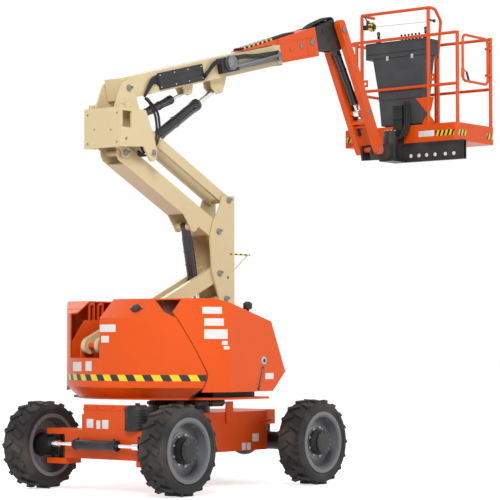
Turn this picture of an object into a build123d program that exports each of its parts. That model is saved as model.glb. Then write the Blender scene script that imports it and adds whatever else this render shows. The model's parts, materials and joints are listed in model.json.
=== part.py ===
from build123d import *
import math
import os

# Articulating boom lift, millimetres. Work frame: X towards the platform, Z up,
# swing axis at X = Y = 0, ground at Z = 0. save() moves it to the centre of its footprint.

# ---- driving dimensions ---------------------------------------------------------------
WHEELBASE = 1960
TRACK = 1665
TYRE_R = 405
TYRE_W = 265
TYRE_BEAD_R = 268
TYRE_FACETS = 36
LUGS = 18
LUG_LEAN = 28           # degrees
RIM_FLANGE_R = 290
RIM_WALL = 12
HUB_R = 110
RUN_GAP = 0.3           # face-to-face gap of a bearing or rubbing pair
PIN_GAP = 0.05          # radial gap of a running pin

FRAME_TOP = 700
FRAME_BOTTOM = 330
FRAME_WALL = 12
FRAME_HALF_W = 440      # widest, between the wheels
FRAME_NECK_W = 270      # half width beside the wheels
TIE_DOWNS = ((-720, FRAME_NECK_W + 42), (700, FRAME_HALF_W + 42))    # X, and Y on either side
TIE_DOWN_Z = (600, 620)
TIE_DOWN_R = 22
AXLE_Z = TYRE_R
YOKE_Y = 630            # kingpin, from the centre plane
KINGPIN_R = 30
STEER_ARM = (-160, -60)         # kingpin to the steering rod's eye
AXLE_BEAM_W = 200
AXLE_BEAM_Z = (300, 560)

BEARING_R = 290
BEARING_Z = (FRAME_TOP, 765)
RING_R = 275
DECK_Z = (835, 855)
TAIL_R = 1055
TAIL_Z = (835, 945)     # foot of the tail cover, and the top of its lower chamfer
TAIL_LIP = 15
TAIL_CHAMFER = 100
CROWN = (188, 175)      # chamfer on the tail cover's near top: inwards and down
SIDE_Y = TAIL_R - 85    # flat hood side, from the centre plane
HOOD_Z = 905
HOOD_T = 12
NEAR_TOP = 1745
FAR_TOP = 1738
BOOM_Y = 300            # plane of the booms
SLOT_HALF = 250         # half width of the slot between the hoods
FRAME_PLATE = 12
LID_GAP = 8
LID_HINGE_DROP = 29     # hinge pin, below the lid's top
LID_HINGE_IN = 14       # ... and in from its inner edge
LID_PIN_R = 8

TAIL_PIN = (-840, 1320)
LOWER_ARM_L = 1783
LOWER_ARM_ANGLE = 23.5
LOWER_ARM_DEPTH = 150
LOWER_LINK_DEPTH = 90
LOWER_LINK_OFFSET = (100, -250)
UPRIGHT_ARM = (-15, 410)        # lower arm pin to mid arm pin
UPRIGHT_LINK = (155, 315)       # mid arm pin to mid link pin
UPRIGHT_TOWER = (-180, -365)    # lower arm pin to the tower cylinder's foot
MID_ARM_L = 1513
MID_ARM_ANGLE = 26.5
MID_ARM_DEPTH = 180
MID_ARM_WALL = 12
MID_LINK_DEPTH = 100
MID_TOWER = (-344, 36)          # mid arm pin to the tower cylinder's top
HEAD_PIVOT = (40, 609)          # mid arm's far pin to the main boom pin
HEAD_LIFT = (272, 14)           # ... to the lift cylinder's foot
HEAD_LEVEL = (288, 364)         # ... to the level cylinder's foot
BOOM_ANGLE = 14
BOOM_DEPTH = 205
BOOM_W = 210
BOOM_WALL = 8
BOOM_L = 2420
BOOM_TAIL = 55
PAD_T = 10                      # wear pads in the boom's mouth
FLY_ROOT = 900
NOSE_L = 655
HEAD_PIN = (BOOM_L + 580, 50)   # on the fly: along and above the boom's axis
JIB_PIN = (488, 188)            # from the head pin
JIB_CYL_PIN = (30, -167)        # from the jib pin
JIB_L = 1400
JIB_ANGLE = -61.3
JIB_DEPTH = 105
ROTATOR_X = 3930
ROTATOR_R = 80
ROTATOR_PIN_R = 35
PLATFORM_X = (4110, 4880)
PLATFORM_W = 1520
FLOOR_Z = 3570
KICK_H = 200
KICK_CORNER = 30
MID_RAIL_Z = 4200
TOP_RAIL_Z = 4765
HOOP_Z = 5055
RAIL_R = 17
POST_R = 20
HOOP_POST_Y = (-75, 830)
GATE_R = 15
GATE_HINGE = 60                 # gate's stile, from the corner post
ANCHOR_Z = 4290                 # lanyard anchors
ANCHOR_IN = 45                  # anchor hole, from its post
ANCHOR_R = 17
SHEET_T = 4

ARM_LANE = (58, 104)            # bars and plates: half widths from the boom plane
MID_HALF_W = 105
LINK_LANE = (66, 100)
UPRIGHT_LANE = (112, 130)
LUG_LANE = (36, 52)             # cylinder lugs, between the links' bars
HEAD_LANE = (210, 230)
EYE_HALF_W = 32                 # cylinder eyes
NOSE_LANE = (83, 95)
JIB_HEAD_LANE = (48, 72)
JIB_LANE = (85, 155)
PIN_R = 28
PIN_HALF_W = UPRIGHT_LANE[1] + 8


# ---- places worked out from them -------------------------------------------------------
def shifted(point, offset):
    return (point[0] + offset[0], point[1] + offset[1])


def polar(point, length, degrees):
    a = math.radians(degrees)
    return (point[0] + length * math.cos(a), point[1] + length * math.sin(a))


def on_boom(along, above):
    """Point in X and Z, given along and square to the main boom's axis."""
    return polar(polar(BOOM_PIN, along, BOOM_ANGLE), above, BOOM_ANGLE + 90)


def between(a, b, share):
    return (a[0] + (b[0] - a[0]) * share, a[1] + (b[1] - a[1]) * share)


def spacing(a, b):
    return math.hypot(b[0] - a[0], b[1] - a[1])


TAIL_LINK_PIN = shifted(TAIL_PIN, LOWER_LINK_OFFSET)
ARM_PIN = polar(TAIL_PIN, LOWER_ARM_L, LOWER_ARM_ANGLE)
LINK_PIN = shifted(ARM_PIN, LOWER_LINK_OFFSET)
MID_PIN = shifted(ARM_PIN, UPRIGHT_ARM)
MID_LINK_PIN = shifted(MID_PIN, UPRIGHT_LINK)
HEAD_ARM_PIN = polar(MID_PIN, MID_ARM_L, 180 - MID_ARM_ANGLE)
HEAD_LINK_PIN = shifted(HEAD_ARM_PIN, UPRIGHT_LINK)
BOOM_PIN = shifted(HEAD_ARM_PIN, HEAD_PIVOT)
TOWER_TOP = shifted(MID_PIN, MID_TOWER)
TOWER_FOOT = shifted(ARM_PIN, UPRIGHT_TOWER)
LIFT_FOOT = shifted(HEAD_ARM_PIN, HEAD_LIFT)
LIFT_EYE = on_boom(1407, -208)
LEVEL_FOOT = shifted(HEAD_ARM_PIN, HEAD_LEVEL)
LEVEL_EYE = on_boom(946, -170)
NOSE_PIN = on_boom(*HEAD_PIN)
JIB_TOP = shifted(NOSE_PIN, JIB_PIN)
JIB_CYL_TOP = shifted(JIB_TOP, JIB_CYL_PIN)
JIB_END = polar(JIB_TOP, JIB_L, JIB_ANGLE)
JIB_CYL_FOOT = polar(JIB_TOP, 960, JIB_ANGLE)
SLAVE_TOP = polar(JIB_TOP, 1120, JIB_ANGLE)

FRONT_X = -WHEELBASE / 2
REAR_X = WHEELBASE / 2
WHEEL_Y = TRACK / 2
PLATFORM_Y = (BOOM_Y - PLATFORM_W / 2, BOOM_Y + PLATFORM_W / 2)
SLOT = (BOOM_Y - SLOT_HALF, BOOM_Y + SLOT_HALF)
NEAR_HINGE = (SLOT[0] - LID_GAP - LID_HINGE_IN, NEAR_TOP - LID_HINGE_DROP)
FAR_HINGE = (SLOT[1] + LID_GAP + LID_HINGE_IN, FAR_TOP - LID_HINGE_DROP)
MIDDLE_X = (FRONT_X - TYRE_R + PLATFORM_X[1]) / 2
MIDDLE_Y = (PLATFORM_Y[1] - WHEEL_Y - TYRE_W / 2) / 2

SIDES = (-1, 1)
os.makedirs("parts", exist_ok=True)
NODES = {}


# ---- shapes ------------------------------------------------------------------------------
def side_plane(y):
    """Sketch plane with X to the right and Z up, looking along +Y."""
    return Plane(origin=(0, y, 0), x_dir=(1, 0, 0), z_dir=(0, -1, 0))


def slab(points, y_low, y_high):
    """Outline in X and Z, as a plate between two Y values."""
    outline = side_plane(y_high) * make_face(Polyline(*points, close=True))
    return extrude(outline, amount=y_high - y_low, dir=(0, -1, 0))


def bar(a, b, depth, y_low, y_high):
    """Flat bar with round ends about two pins."""
    middle = between(a, b, 0.5)
    angle = math.degrees(math.atan2(b[1] - a[1], b[0] - a[0]))
    outline = Pos(*middle) * Rot(Z=angle) * SlotCenterToCenter(spacing(a, b), depth)
    return extrude(side_plane(y_high) * outline, amount=y_high - y_low, dir=(0, -1, 0))


def strip(a, b, depth, y_low, y_high, shift=0):
    """Flat bar with square ends at two points, moved sideways by shift."""
    middle = between(a, b, 0.5)
    angle = math.degrees(math.atan2(b[1] - a[1], b[0] - a[0]))
    outline = Pos(*middle) * Rot(Z=angle) * Pos(0, shift) * Rectangle(spacing(a, b), depth)
    return extrude(side_plane(y_high) * outline, amount=y_high - y_low, dir=(0, -1, 0))


def cross_pin(at, radius, y_low, y_high):
    return Pos(at[0], (y_low + y_high) / 2, at[1]) * Rot(X=90) * Cylinder(radius, y_high - y_low)


def block(x, y, z):
    size = (x[1] - x[0], y[1] - y[0], z[1] - z[0])
    return Pos((x[0] + x[1]) / 2, (y[0] + y[1]) / 2, (z[0] + z[1]) / 2) * Box(*size)


def post(x, y, radius, z_low, z_high):
    return Pos(x, y, (z_low + z_high) / 2) * Cylinder(radius, z_high - z_low)


def round_bar(start, end, radius):
    line = Vector(*end) - Vector(*start)
    return Plane(origin=start, z_dir=line) * Cylinder(
        radius, line.length, align=(Align.CENTER, Align.CENTER, Align.MIN))


def tube_run(points, radius, bend):
    """Round bar bent through a list of points."""
    path = FilletPolyline(*points, radius=bend)
    first = Vector(*points[1]) - Vector(*points[0])
    return sweep(Plane(origin=points[0], z_dir=first) * Circle(radius), path=path)


def both(lane, build):
    """The same plate on either side of the boom plane."""
    low, high = lane
    return build(BOOM_Y - high, BOOM_Y - low) + build(BOOM_Y + low, BOOM_Y + high)


def save(node, shape):
    NODES[node] = shape
    export_step(Pos(-MIDDLE_X, -MIDDLE_Y, 0) * shape, "parts/" + node + ".step")


def eye_pins(eye):
    """Pins in both lugs, up to a rod's eye."""
    return both((EYE_HALF_W + 2, LUG_LANE[1] + 6), lambda a, b: cross_pin(eye, PIN_R, a, b))


def cylinder_pair(name, foot, eye, bore, rod_r, barrel_share, retract, foot_r, eye_r):
    """Hydraulic cylinder: a barrel on a narrow foot eye, and a rod with its own."""
    length = spacing(foot, eye)
    eye_w = EYE_HALF_W
    neck = 100
    piston = neck + 25 + retract

    def at(distance):
        x, z = between(foot, eye, distance / length)
        return (x, BOOM_Y, z)

    mouth = barrel_share * length
    barrel = round_bar(at(neck), at(mouth), bore + 9)
    barrel -= round_bar(at(neck + 20), at(mouth - 22), bore)
    barrel -= round_bar(at(0.5 * mouth), at(length), rod_r + PIN_GAP)
    barrel += cross_pin(foot, foot_r, BOOM_Y - eye_w, BOOM_Y + eye_w)
    barrel += strip(foot, between(foot, eye, (neck + 20) / length), 1.5 * foot_r, BOOM_Y - eye_w, BOOM_Y + eye_w)
    barrel -= cross_pin(foot, PIN_R + PIN_GAP, BOOM_Y - eye_w, BOOM_Y + eye_w)
    rod = round_bar(at(piston), at(length), rod_r)
    rod += round_bar(at(piston), at(piston + 50), bore - 2)
    rod += cross_pin(eye, eye_r, BOOM_Y - eye_w, BOOM_Y + eye_w)
    save(name + "_barrel", barrel)
    save(name + "_rod", rod)


# ---- chassis -----------------------------------------------------------------------------
def chassis():
    front = (-1040, -620, -420)     # end, neck and waist of the frame in X
    rear = (1120, 900, 780)
    near = [(front[0], -FRAME_NECK_W), (front[1], -FRAME_NECK_W), (front[2], -FRAME_HALF_W),
            (rear[2], -FRAME_HALF_W), (rear[1], -FRAME_NECK_W), (rear[0], -FRAME_NECK_W)]
    far = [(x, -y) for x, y in reversed(near)]
    plan = make_face(Polyline(*near, *far, close=True))
    frame = extrude(Pos(0, 0, FRAME_BOTTOM) * plan, amount=FRAME_TOP - FRAME_BOTTOM)
    inner = offset(plan, amount=-FRAME_WALL, kind=Kind.INTERSECTION)
    depth = FRAME_TOP - FRAME_BOTTOM - FRAME_WALL
    frame -= extrude(Pos(0, 0, FRAME_BOTTOM) * inner, amount=depth)
    for x, half in ((front[1], FRAME_NECK_W), (rear[2] - FRAME_WALL, FRAME_HALF_W)):
        frame += block((x - 6, x + 6), (-half + 6, half - 6), (FRAME_BOTTOM, FRAME_TOP - 6))
    frame -= block((front[0] - 200, FRONT_X + 140), (-400, 400), (0, AXLE_BEAM_Z[1]))
    frame -= block((rear[2], rear[0] + 200), (-500, 500), (0, AXLE_BEAM_Z[1]))
    for x in (FRONT_X, REAR_X):
        seat = (max(x - 110, front[0] + 6), min(x + 110, rear[0] - 6))
        frame += block(seat, (-FRAME_NECK_W + 6, FRAME_NECK_W - 6), (AXLE_BEAM_Z[1], AXLE_BEAM_Z[1] + FRAME_WALL))
    low, high = TIE_DOWN_Z
    for x, y in TIE_DOWNS:
        for side in SIDES:
            plate = sorted((side * (y - 47), side * (y + 35)))
            frame += block((x - 45, x + 45), plate, TIE_DOWN_Z)
            frame -= post(x, side * y, TIE_DOWN_R, low - 10, high + 10)
    frame -= Pos(0, 0, FRAME_TOP) * Cylinder(180, 100)
    lock_plate = block((150, 250), (-FRAME_HALF_W - 14, -FRAME_HALF_W), (FRAME_TOP - 110, FRAME_TOP + 100))
    frame += lock_plate
    save("chassis_frame", frame)

    bearing = Pos(0, 0, sum(BEARING_Z) / 2) * Cylinder(BEARING_R, BEARING_Z[1] - BEARING_Z[0])
    bearing -= Pos(0, 0, sum(BEARING_Z) / 2) * Cylinder(190, 100)
    save("swing_bearing", bearing)


def front_axle():
    low, high = AXLE_BEAM_Z
    x = (FRONT_X - AXLE_BEAM_W / 2, FRONT_X + AXLE_BEAM_W / 2)
    beam = block(x, (-430, 430), (low, high))
    for side in SIDES:
        inner = side * 430
        outer = side * (YOKE_Y + 40)
        ends = (min(inner, outer), max(inner, outer))
        beam += block(x, ends, (high - 45, high + 5))
        beam += block(x, ends, (low - 55, low - 5))
        back = (min(inner, side * 445), max(inner, side * 445))
        beam += block(x, back, (low - 55, high + 5))
        beam -= post(FRONT_X, side * YOKE_Y, KINGPIN_R + PIN_GAP, 0, 900)
    save("front_axle", beam)

    box = block((FRONT_X - 100, FRONT_X + 160), (-320, 210), (high + RUN_GAP, 790))
    box -= block((FRONT_X - 60, FRONT_X + 180), (-280, 250), (FRAME_TOP - 20, 900))
    save("front_box", box - block((-1040, 0), (-FRAME_NECK_W, FRAME_NECK_W), (0, FRAME_TOP + 1)))
    save("front_canister", post(FRONT_X - 40, -392, 68, high + 5 + RUN_GAP, high + 300))

    rod_x = FRONT_X + STEER_ARM[0]
    barrel = Pos(rod_x, 0, 430) * Rot(X=90) * Cylinder(45, 520)
    barrel -= Pos(rod_x, 0, 430) * Rot(X=90) * Cylinder(18 + PIN_GAP, 600)
    for side in SIDES:
        barrel += block((FRONT_X - 130, x[0]), (side * 180 - 20, side * 180 + 20), (400, 460))
    save("steer_barrel", barrel)
    rod = Pos(rod_x, 0, 430) * Rot(X=90) * Cylinder(18, 960)
    for side in SIDES:
        rod += Pos(rod_x, side * 490, 430) * Rot(X=90) * Cylinder(32, 70)
    save("steer_rod", rod)


def rear_axle():
    axle = Pos(REAR_X, 0, AXLE_Z) * Rot(X=90) * Cylinder(85, 1240)
    axle += Pos(REAR_X, 0, AXLE_Z) * Sphere(150)
    for side in SIDES:
        axle += block((REAR_X - 90, REAR_X + 90), (side * 210 - 40, side * 210 + 40), (AXLE_Z, AXLE_BEAM_Z[1]))
        end = side * (WHEEL_Y + 10 - RUN_GAP)
        axle += cross_pin((REAR_X, AXLE_Z), 95, *sorted((side * 560, end)))
    axle -= block((0, 2000), (-400, 400), (AXLE_BEAM_Z[1], 800))
    save("rear_axle", axle)


def knuckle(side):
    low, high = AXLE_BEAM_Z
    y = (YOKE_Y - 45, YOKE_Y + 45)
    body = post(FRONT_X, YOKE_Y, 60, low - 5 + RUN_GAP, high - 45 - RUN_GAP)
    body += block((FRONT_X - 70, FRONT_X + 70), y, (low + 25, high - 75))
    body += post(FRONT_X, YOKE_Y, KINGPIN_R, low - 55, high + 5)
    hub = (YOKE_Y, WHEEL_Y + 10 - RUN_GAP)
    body += cross_pin((FRONT_X, AXLE_Z), 95, *hub)
    eye = (FRONT_X + STEER_ARM[0], YOKE_Y + STEER_ARM[1])
    arm = [(eye[0], eye[1] + 24), (eye[0], eye[1] - 24), (FRONT_X, YOKE_Y - 40), (FRONT_X, YOKE_Y + 20)]
    body += extrude(Pos(0, 0, 410) * make_face(Polyline(*arm, close=True)), amount=40)
    body += post(*eye, 30, 410, 450)
    body = body if side > 0 else mirror(body, about=Plane.XZ)
    save("knuckle_left" if side > 0 else "knuckle_right", body)


def tyre_ring(radius, y):
    return Pos(0, 0, y) * RegularPolygon(radius, TYRE_FACETS, major_radius=False)


def wheel():
    """Tyre, in flat facets, and rim about a Y axis, the outer face at +Y."""
    half = TYRE_W / 2
    tread = half - 12
    shoulder = TYRE_BEAD_R + 70
    tyre = loft([tyre_ring(shoulder, -half), tyre_ring(TYRE_R - 28, -tread),
                 tyre_ring(TYRE_R - 28, tread), tyre_ring(shoulder, half)], ruled=True)
    tyre -= extrude(tyre_ring(TYRE_BEAD_R, -half), amount=TYRE_W)
    for end in SIDES:
        tyre -= loft([tyre_ring(TYRE_BEAD_R, end * (half - 16)), tyre_ring(shoulder, end * half)], ruled=True)
    tyre = Rot(X=90) * tyre
    lug_l = half - 14
    lug_w = 44
    lean = math.radians(LUG_LEAN)
    reach = (lug_l * math.sin(lean) + lug_w * math.cos(lean)) / 2
    corner = math.degrees(math.asin(reach / TYRE_R))
    top = TYRE_R * math.cos(math.radians(corner))
    pitch = 360 / LUGS
    for i in range(LUGS):
        for end in SIDES:
            lug = Pos(top - 20, end * lug_l / 2, 0) * Rot(X=end * LUG_LEAN) * Box(40, lug_l, lug_w)
            tyre += Rot(Y=pitch * i + end * (pitch / 2 - corner)) * lug
    rim_r = TYRE_BEAD_R - RUN_GAP
    wall_r = rim_r - RIM_WALL
    profile = [(wall_r, -half + 2), (RIM_FLANGE_R, -half + 2), (RIM_FLANGE_R, -half + 10),
               (rim_r, -half + 10), (rim_r, half - 10), (RIM_FLANGE_R, half - 10),
               (RIM_FLANGE_R, half - 2), (wall_r, half - 2), (rim_r - 30, 30),
               (150, 55), (HUB_R, 55), (HUB_R, half + 8), (70, half + 18), (0, half + 18),
               (0, 10), (140, 10), (wall_r - 22, -14)]
    rim = revolve(make_face(Polyline(*profile, close=True)), axis=Axis.Y)
    return tyre, rim


def wheels():
    left = wheel()
    right = [mirror(shape, about=Plane.XZ) for shape in left]
    for x, end in ((FRONT_X, "front"), (REAR_X, "rear")):
        for side, (tyre, rim), name in ((1, left, "left"), (-1, right, "right")):
            at = Pos(x, side * WHEEL_Y, AXLE_Z)
            save("tyre_" + end + "_" + name, at * tyre)
            save("rim_" + end + "_" + name, at * rim)


# ---- turntable -----------------------------------------------------------------------------
def hood_profile_near():
    """Tops of the wide hood from the tail to the front, in X and Z."""
    return [(-TAIL_R - 20, HOOD_Z), (-TAIL_R - 20, NEAR_TOP), (-560, NEAR_TOP), (172, 1543),
            (382, 1082), (195, HOOD_Z)]


def hood_profile_far():
    return [(-TAIL_R - 20, 0), (-TAIL_R - 20, 1605), (-800, 1632), (-645, FAR_TOP), (-330, FAR_TOP),
            (0, 1690), (172, 1543), (382, 1082), (195, HOOD_Z), (195, 0)]


def tail_form(inset, foot, crown):
    """Solid of revolution: chamfered below, and crowned on top by the given drop."""
    radius = TAIL_R - inset
    lean = 0.45 * inset
    top = NEAR_TOP - inset
    lip_r = radius - TAIL_CHAMFER - lean
    profile = [(0, foot), (lip_r, foot), (lip_r, TAIL_Z[0] + TAIL_LIP + lean), (radius, TAIL_Z[1] + lean),
               (radius, top - crown), (radius - CROWN[0], top), (0, top)]
    face = Plane.XZ * make_face(Polyline(*profile, close=True))
    return revolve(face, axis=Axis.Z)


def footprint(radius, side, z_low, z_high):
    disc = post(0, 0, radius, z_low, z_high)
    return disc + block((0, 800), (-side, side), (z_low, z_high))


def shell(points, y_low, y_high):
    """Sheet cover with the outline given in X and Z, open below and towards the booms."""
    outer = slab(points, y_low, y_high) & footprint(TAIL_R, SIDE_Y, HOOD_Z, 3000)
    outer &= block((-2000, 2000), (-SIDE_Y, SIDE_Y), (0, 3000))
    sketch = make_face(Polyline(*points, close=True))
    small = side_plane(y_high) * offset(sketch, amount=-HOOD_T, kind=Kind.INTERSECTION)
    inner = extrude(small, amount=y_high - y_low + 400, dir=(0, -1, 0))
    inner += extrude(small, amount=200, dir=(0, 1, 0))
    inner += block((-TAIL_R, points[-1][0] - 15), (-SIDE_Y, SIDE_Y), (HOOD_Z - 50, HOOD_Z + 40))
    inner &= footprint(TAIL_R - HOOD_T, SIDE_Y - HOOD_T, 0, 3000)
    inner &= block((-2000, 2000), (-SIDE_Y + HOOD_T, SIDE_Y - HOOD_T), (0, 3000))
    return outer - inner


def turntable():
    low, high = DECK_Z
    inside = tail_form(HOOD_T + 6, 0, CROWN[1])
    ring = post(0, 0, RING_R, BEARING_Z[1] + RUN_GAP, low)
    ring -= post(0, 0, 190, 0, 900)
    deck = post(0, 0, TAIL_R - 150, low, high) & block((-2000, 180), (-2000, 2000), (low, high))
    deck += footprint(TAIL_R - 60, SIDE_Y - 30, low, high) & block((-600, 180), (-SIDE_Y + 30, SIDE_Y - 30), (low, high))
    top = [(-TAIL_R + 60, high), (-TAIL_R + 60, 1200), (-700, 1560), (-300, 1560), (150, 1500),
           (330, 1085), (150, HOOD_Z), (140, high)]
    deck += ring
    for y in (SLOT[0] - LID_GAP - FRAME_PLATE, SLOT[1] + LID_GAP):
        deck += slab(top, y, y + FRAME_PLATE) & inside
    riser = [(-900, high), (-900, 1320), (-865, 1375), (-815, 1375), (-770, 1340), (-600, high)]
    deck += both(UPRIGHT_LANE, lambda a, b: slab(riser, a, b)) & inside
    deck += cross_pin(TAIL_PIN, PIN_R, BOOM_Y - PIN_HALF_W, BOOM_Y + PIN_HALF_W)
    deck += cross_pin(TAIL_LINK_PIN, PIN_R, BOOM_Y - PIN_HALF_W, BOOM_Y + PIN_HALF_W)
    lip_r = TAIL_R - HOOD_T - TAIL_CHAMFER - 0.45 * HOOD_T
    tongue = block((-TAIL_R, -800), (BOOM_Y - 100, BOOM_Y + 100), (low, low + TAIL_LIP))
    deck += tongue & post(0, 0, lip_r, 0, 2000)
    hinges = ((*NEAR_HINGE, (-720, -620)), (*FAR_HINGE, (-600, -480)))
    for y, z, places in hinges:
        for x in places:
            deck += Pos(x, y, z) * Rot(Y=90) * Cylinder(LID_PIN_R, 70)
            for end in SIDES:
                deck += block((x + end * 30 - 5, x + end * 30 + 5), (y - 11, y + 11), (1540, z))
                deck += Pos(x + end * 30, y, z) * Rot(Y=90) * Cylinder(11, 10)
    save("turntable_frame", deck)

    weight = tail_form(HOOD_T + 3, 0, CROWN[1]) & block((-TAIL_R, -620), (-800, 800), (high, 1080))
    weight -= block((-TAIL_R, 0), (SLOT[0] - 30, SLOT[1] + 30), (high, 1080))
    save("counterweight", weight)
    engine = block((-450, 150), (-790, -90), (high, 1360))
    save("engine", engine)

    seam = [(-1200, 0), (-664, 0), (-664, 870), (-614, 1030), (-614, 1080), (-838, 1620),
            (-783, NEAR_TOP), (-763, NEAR_TOP + 45), (-1200, NEAR_TOP + 45)]
    far_seam = -760
    skin = tail_form(0, TAIL_Z[0], CROWN[1]) - tail_form(HOOD_T, 0, CROWN[1])
    tail = skin & slab(seam, -SIDE_Y, SLOT[0] - LID_GAP)
    tail += skin & block((-TAIL_R, -700), (SLOT[0] - LID_GAP, SLOT[1] + LID_GAP), (0, 1210))
    outline = slab(hood_profile_far(), SLOT[1] + LID_GAP, SIDE_Y)
    corner = (tail_form(0, TAIL_Z[0], 0) & outline) - (tail_form(HOOD_T, 0, 0) & Pos(0, -1, -HOOD_T - 2) * outline)
    tail += corner & block((-TAIL_R, far_seam), (0, SIDE_Y), (0, 2000))
    save("tail_cover", tail)

    edge = [(x + LID_GAP, z) for x, z in seam[1:-1]] + [(1000, NEAR_TOP + 45), (1000, 0)]
    near = shell(hood_profile_near(), -SIDE_Y, SLOT[0] - LID_GAP) & slab(edge, -2000, 2000)
    far = shell(hood_profile_far(), SLOT[1] + LID_GAP, SIDE_Y)
    far &= block((far_seam + LID_GAP, 2000), (0, 2000), (0, 2000))
    lids = (("hood_near", near, hood_profile_near()), ("hood_far", far, hood_profile_far()))
    for (name, lid, outline), (y, z, places) in zip(lids, hinges):
        inner = slab(outline, y - 8, y + 8)
        for x in places:
            lid += Pos(x, y, z) * Rot(Y=90) * Cylinder(LID_PIN_R + 7, 44)
            lid += inner & block((x - 22, x + 22), (y - 8, y + 8), (z, z + 60))
            lid -= Pos(x, y, z) * Rot(Y=90) * Cylinder(LID_PIN_R + PIN_GAP, 80)
        save(name, lid)


# ---- tower ---------------------------------------------------------------------------------
def bored(shape, pin, clearance):
    return shape - cross_pin(pin, PIN_R + clearance, BOOM_Y - 400, BOOM_Y + 400)


def full_pin(at):
    return cross_pin(at, PIN_R, BOOM_Y - PIN_HALF_W, BOOM_Y + PIN_HALF_W)


def lower_arm():
    arm = both(ARM_LANE, lambda a, b: bar(TAIL_PIN, ARM_PIN, LOWER_ARM_DEPTH, a, b))
    arm += strip(between(TAIL_PIN, ARM_PIN, 0.18), between(TAIL_PIN, ARM_PIN, 0.26), 90,
                 BOOM_Y - ARM_LANE[0] - 5, BOOM_Y + ARM_LANE[0] + 5)
    save("lower_arm", bored(arm, TAIL_PIN, PIN_GAP) + full_pin(ARM_PIN))

    link = both(ARM_LANE, lambda a, b: bar(TAIL_LINK_PIN, LINK_PIN, LOWER_LINK_DEPTH, a, b))
    link += strip(between(TAIL_LINK_PIN, LINK_PIN, 0.2), between(TAIL_LINK_PIN, LINK_PIN, 0.25), 50,
                  BOOM_Y - ARM_LANE[0] - 5, BOOM_Y + ARM_LANE[0] + 5)
    save("lower_link", bored(bored(link, TAIL_LINK_PIN, PIN_GAP), LINK_PIN, PIN_GAP))


def lower_upright():
    """Two tall plates and a back web that the lower and the mid arm meet in."""
    x, z = ARM_PIN
    back = x + 235
    outline = [(back, z - 405), (back, z + 769), (x + 63, z + 766), (x - 84, z + 481),
               (x - 136, z + 331), (x - 104, z + 10), (x + 13, z - 270), (x + 40, z - 405)]
    upright = both(UPRIGHT_LANE, lambda a, b: slab(outline, a, b))
    inner = (BOOM_Y - UPRIGHT_LANE[0] - 5, BOOM_Y + UPRIGHT_LANE[0] + 5)
    upright += block((back - 23, back - 8), inner, (z - 400, z + 560))
    upright += block((x + 110, back - 10), inner, (z - 405, z - 385))
    tx, tz = TOWER_FOOT
    ear = [(tx - 45, tz + 20), (tx - 45, tz - 20), (tx - 20, z - 405), (back - 10, z - 405),
           (back - 10, z - 320), (tx + 90, z - 320), (tx + 20, tz + 45), (tx - 20, tz + 45)]
    upright += both(LUG_LANE, lambda a, b: slab(ear, a, b))
    upright += eye_pins(TOWER_FOOT)
    upright = bored(upright, ARM_PIN, PIN_GAP)
    for at in (LINK_PIN, MID_PIN, MID_LINK_PIN):
        upright += full_pin(at)
    save("lower_upright", upright)


def mid_arm():
    """Channel open on top, with lugs below for the tower cylinder."""
    half_d = MID_ARM_DEPTH / 2

    def along(distance, above):
        return polar(polar(MID_PIN, distance, 180 - MID_ARM_ANGLE), above, 90 - MID_ARM_ANGLE)

    lane = (MID_HALF_W - MID_ARM_WALL, MID_HALF_W)
    arm = both(lane, lambda a, b: bar(MID_PIN, HEAD_ARM_PIN, MID_ARM_DEPTH, a, b))
    lug = [along(220, 0), along(250, -half_d), shifted(TOWER_TOP, (52, -20)), shifted(TOWER_TOP, (25, -50)),
           shifted(TOWER_TOP, (-25, -50)), shifted(TOWER_TOP, (-52, -10)), along(500, -half_d), along(520, 0)]
    arm += both(lane, lambda a, b: slab(lug, a, b))
    for start, end in ((90, 235), (510, MID_ARM_L - 60)):
        arm += slab([along(start, -half_d), along(start, -half_d + MID_ARM_WALL),
                     along(end, -half_d + MID_ARM_WALL), along(end, -half_d)],
                    BOOM_Y - MID_HALF_W + 2, BOOM_Y + MID_HALF_W - 2)
    arm += cross_pin(TOWER_TOP, PIN_R, BOOM_Y - MID_HALF_W - 4, BOOM_Y + MID_HALF_W + 4)
    arm += both((EYE_HALF_W + RUN_GAP, lane[0] + 2), lambda a, b: cross_pin(TOWER_TOP, PIN_R + 14, a, b))
    save("mid_arm", bored(arm, MID_PIN, PIN_GAP) + full_pin(HEAD_ARM_PIN))

    link = both(LINK_LANE, lambda a, b: bar(MID_LINK_PIN, HEAD_LINK_PIN, MID_LINK_DEPTH, a, b))
    save("mid_link", bored(bored(link, MID_LINK_PIN, PIN_GAP), HEAD_LINK_PIN, PIN_GAP))


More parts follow.
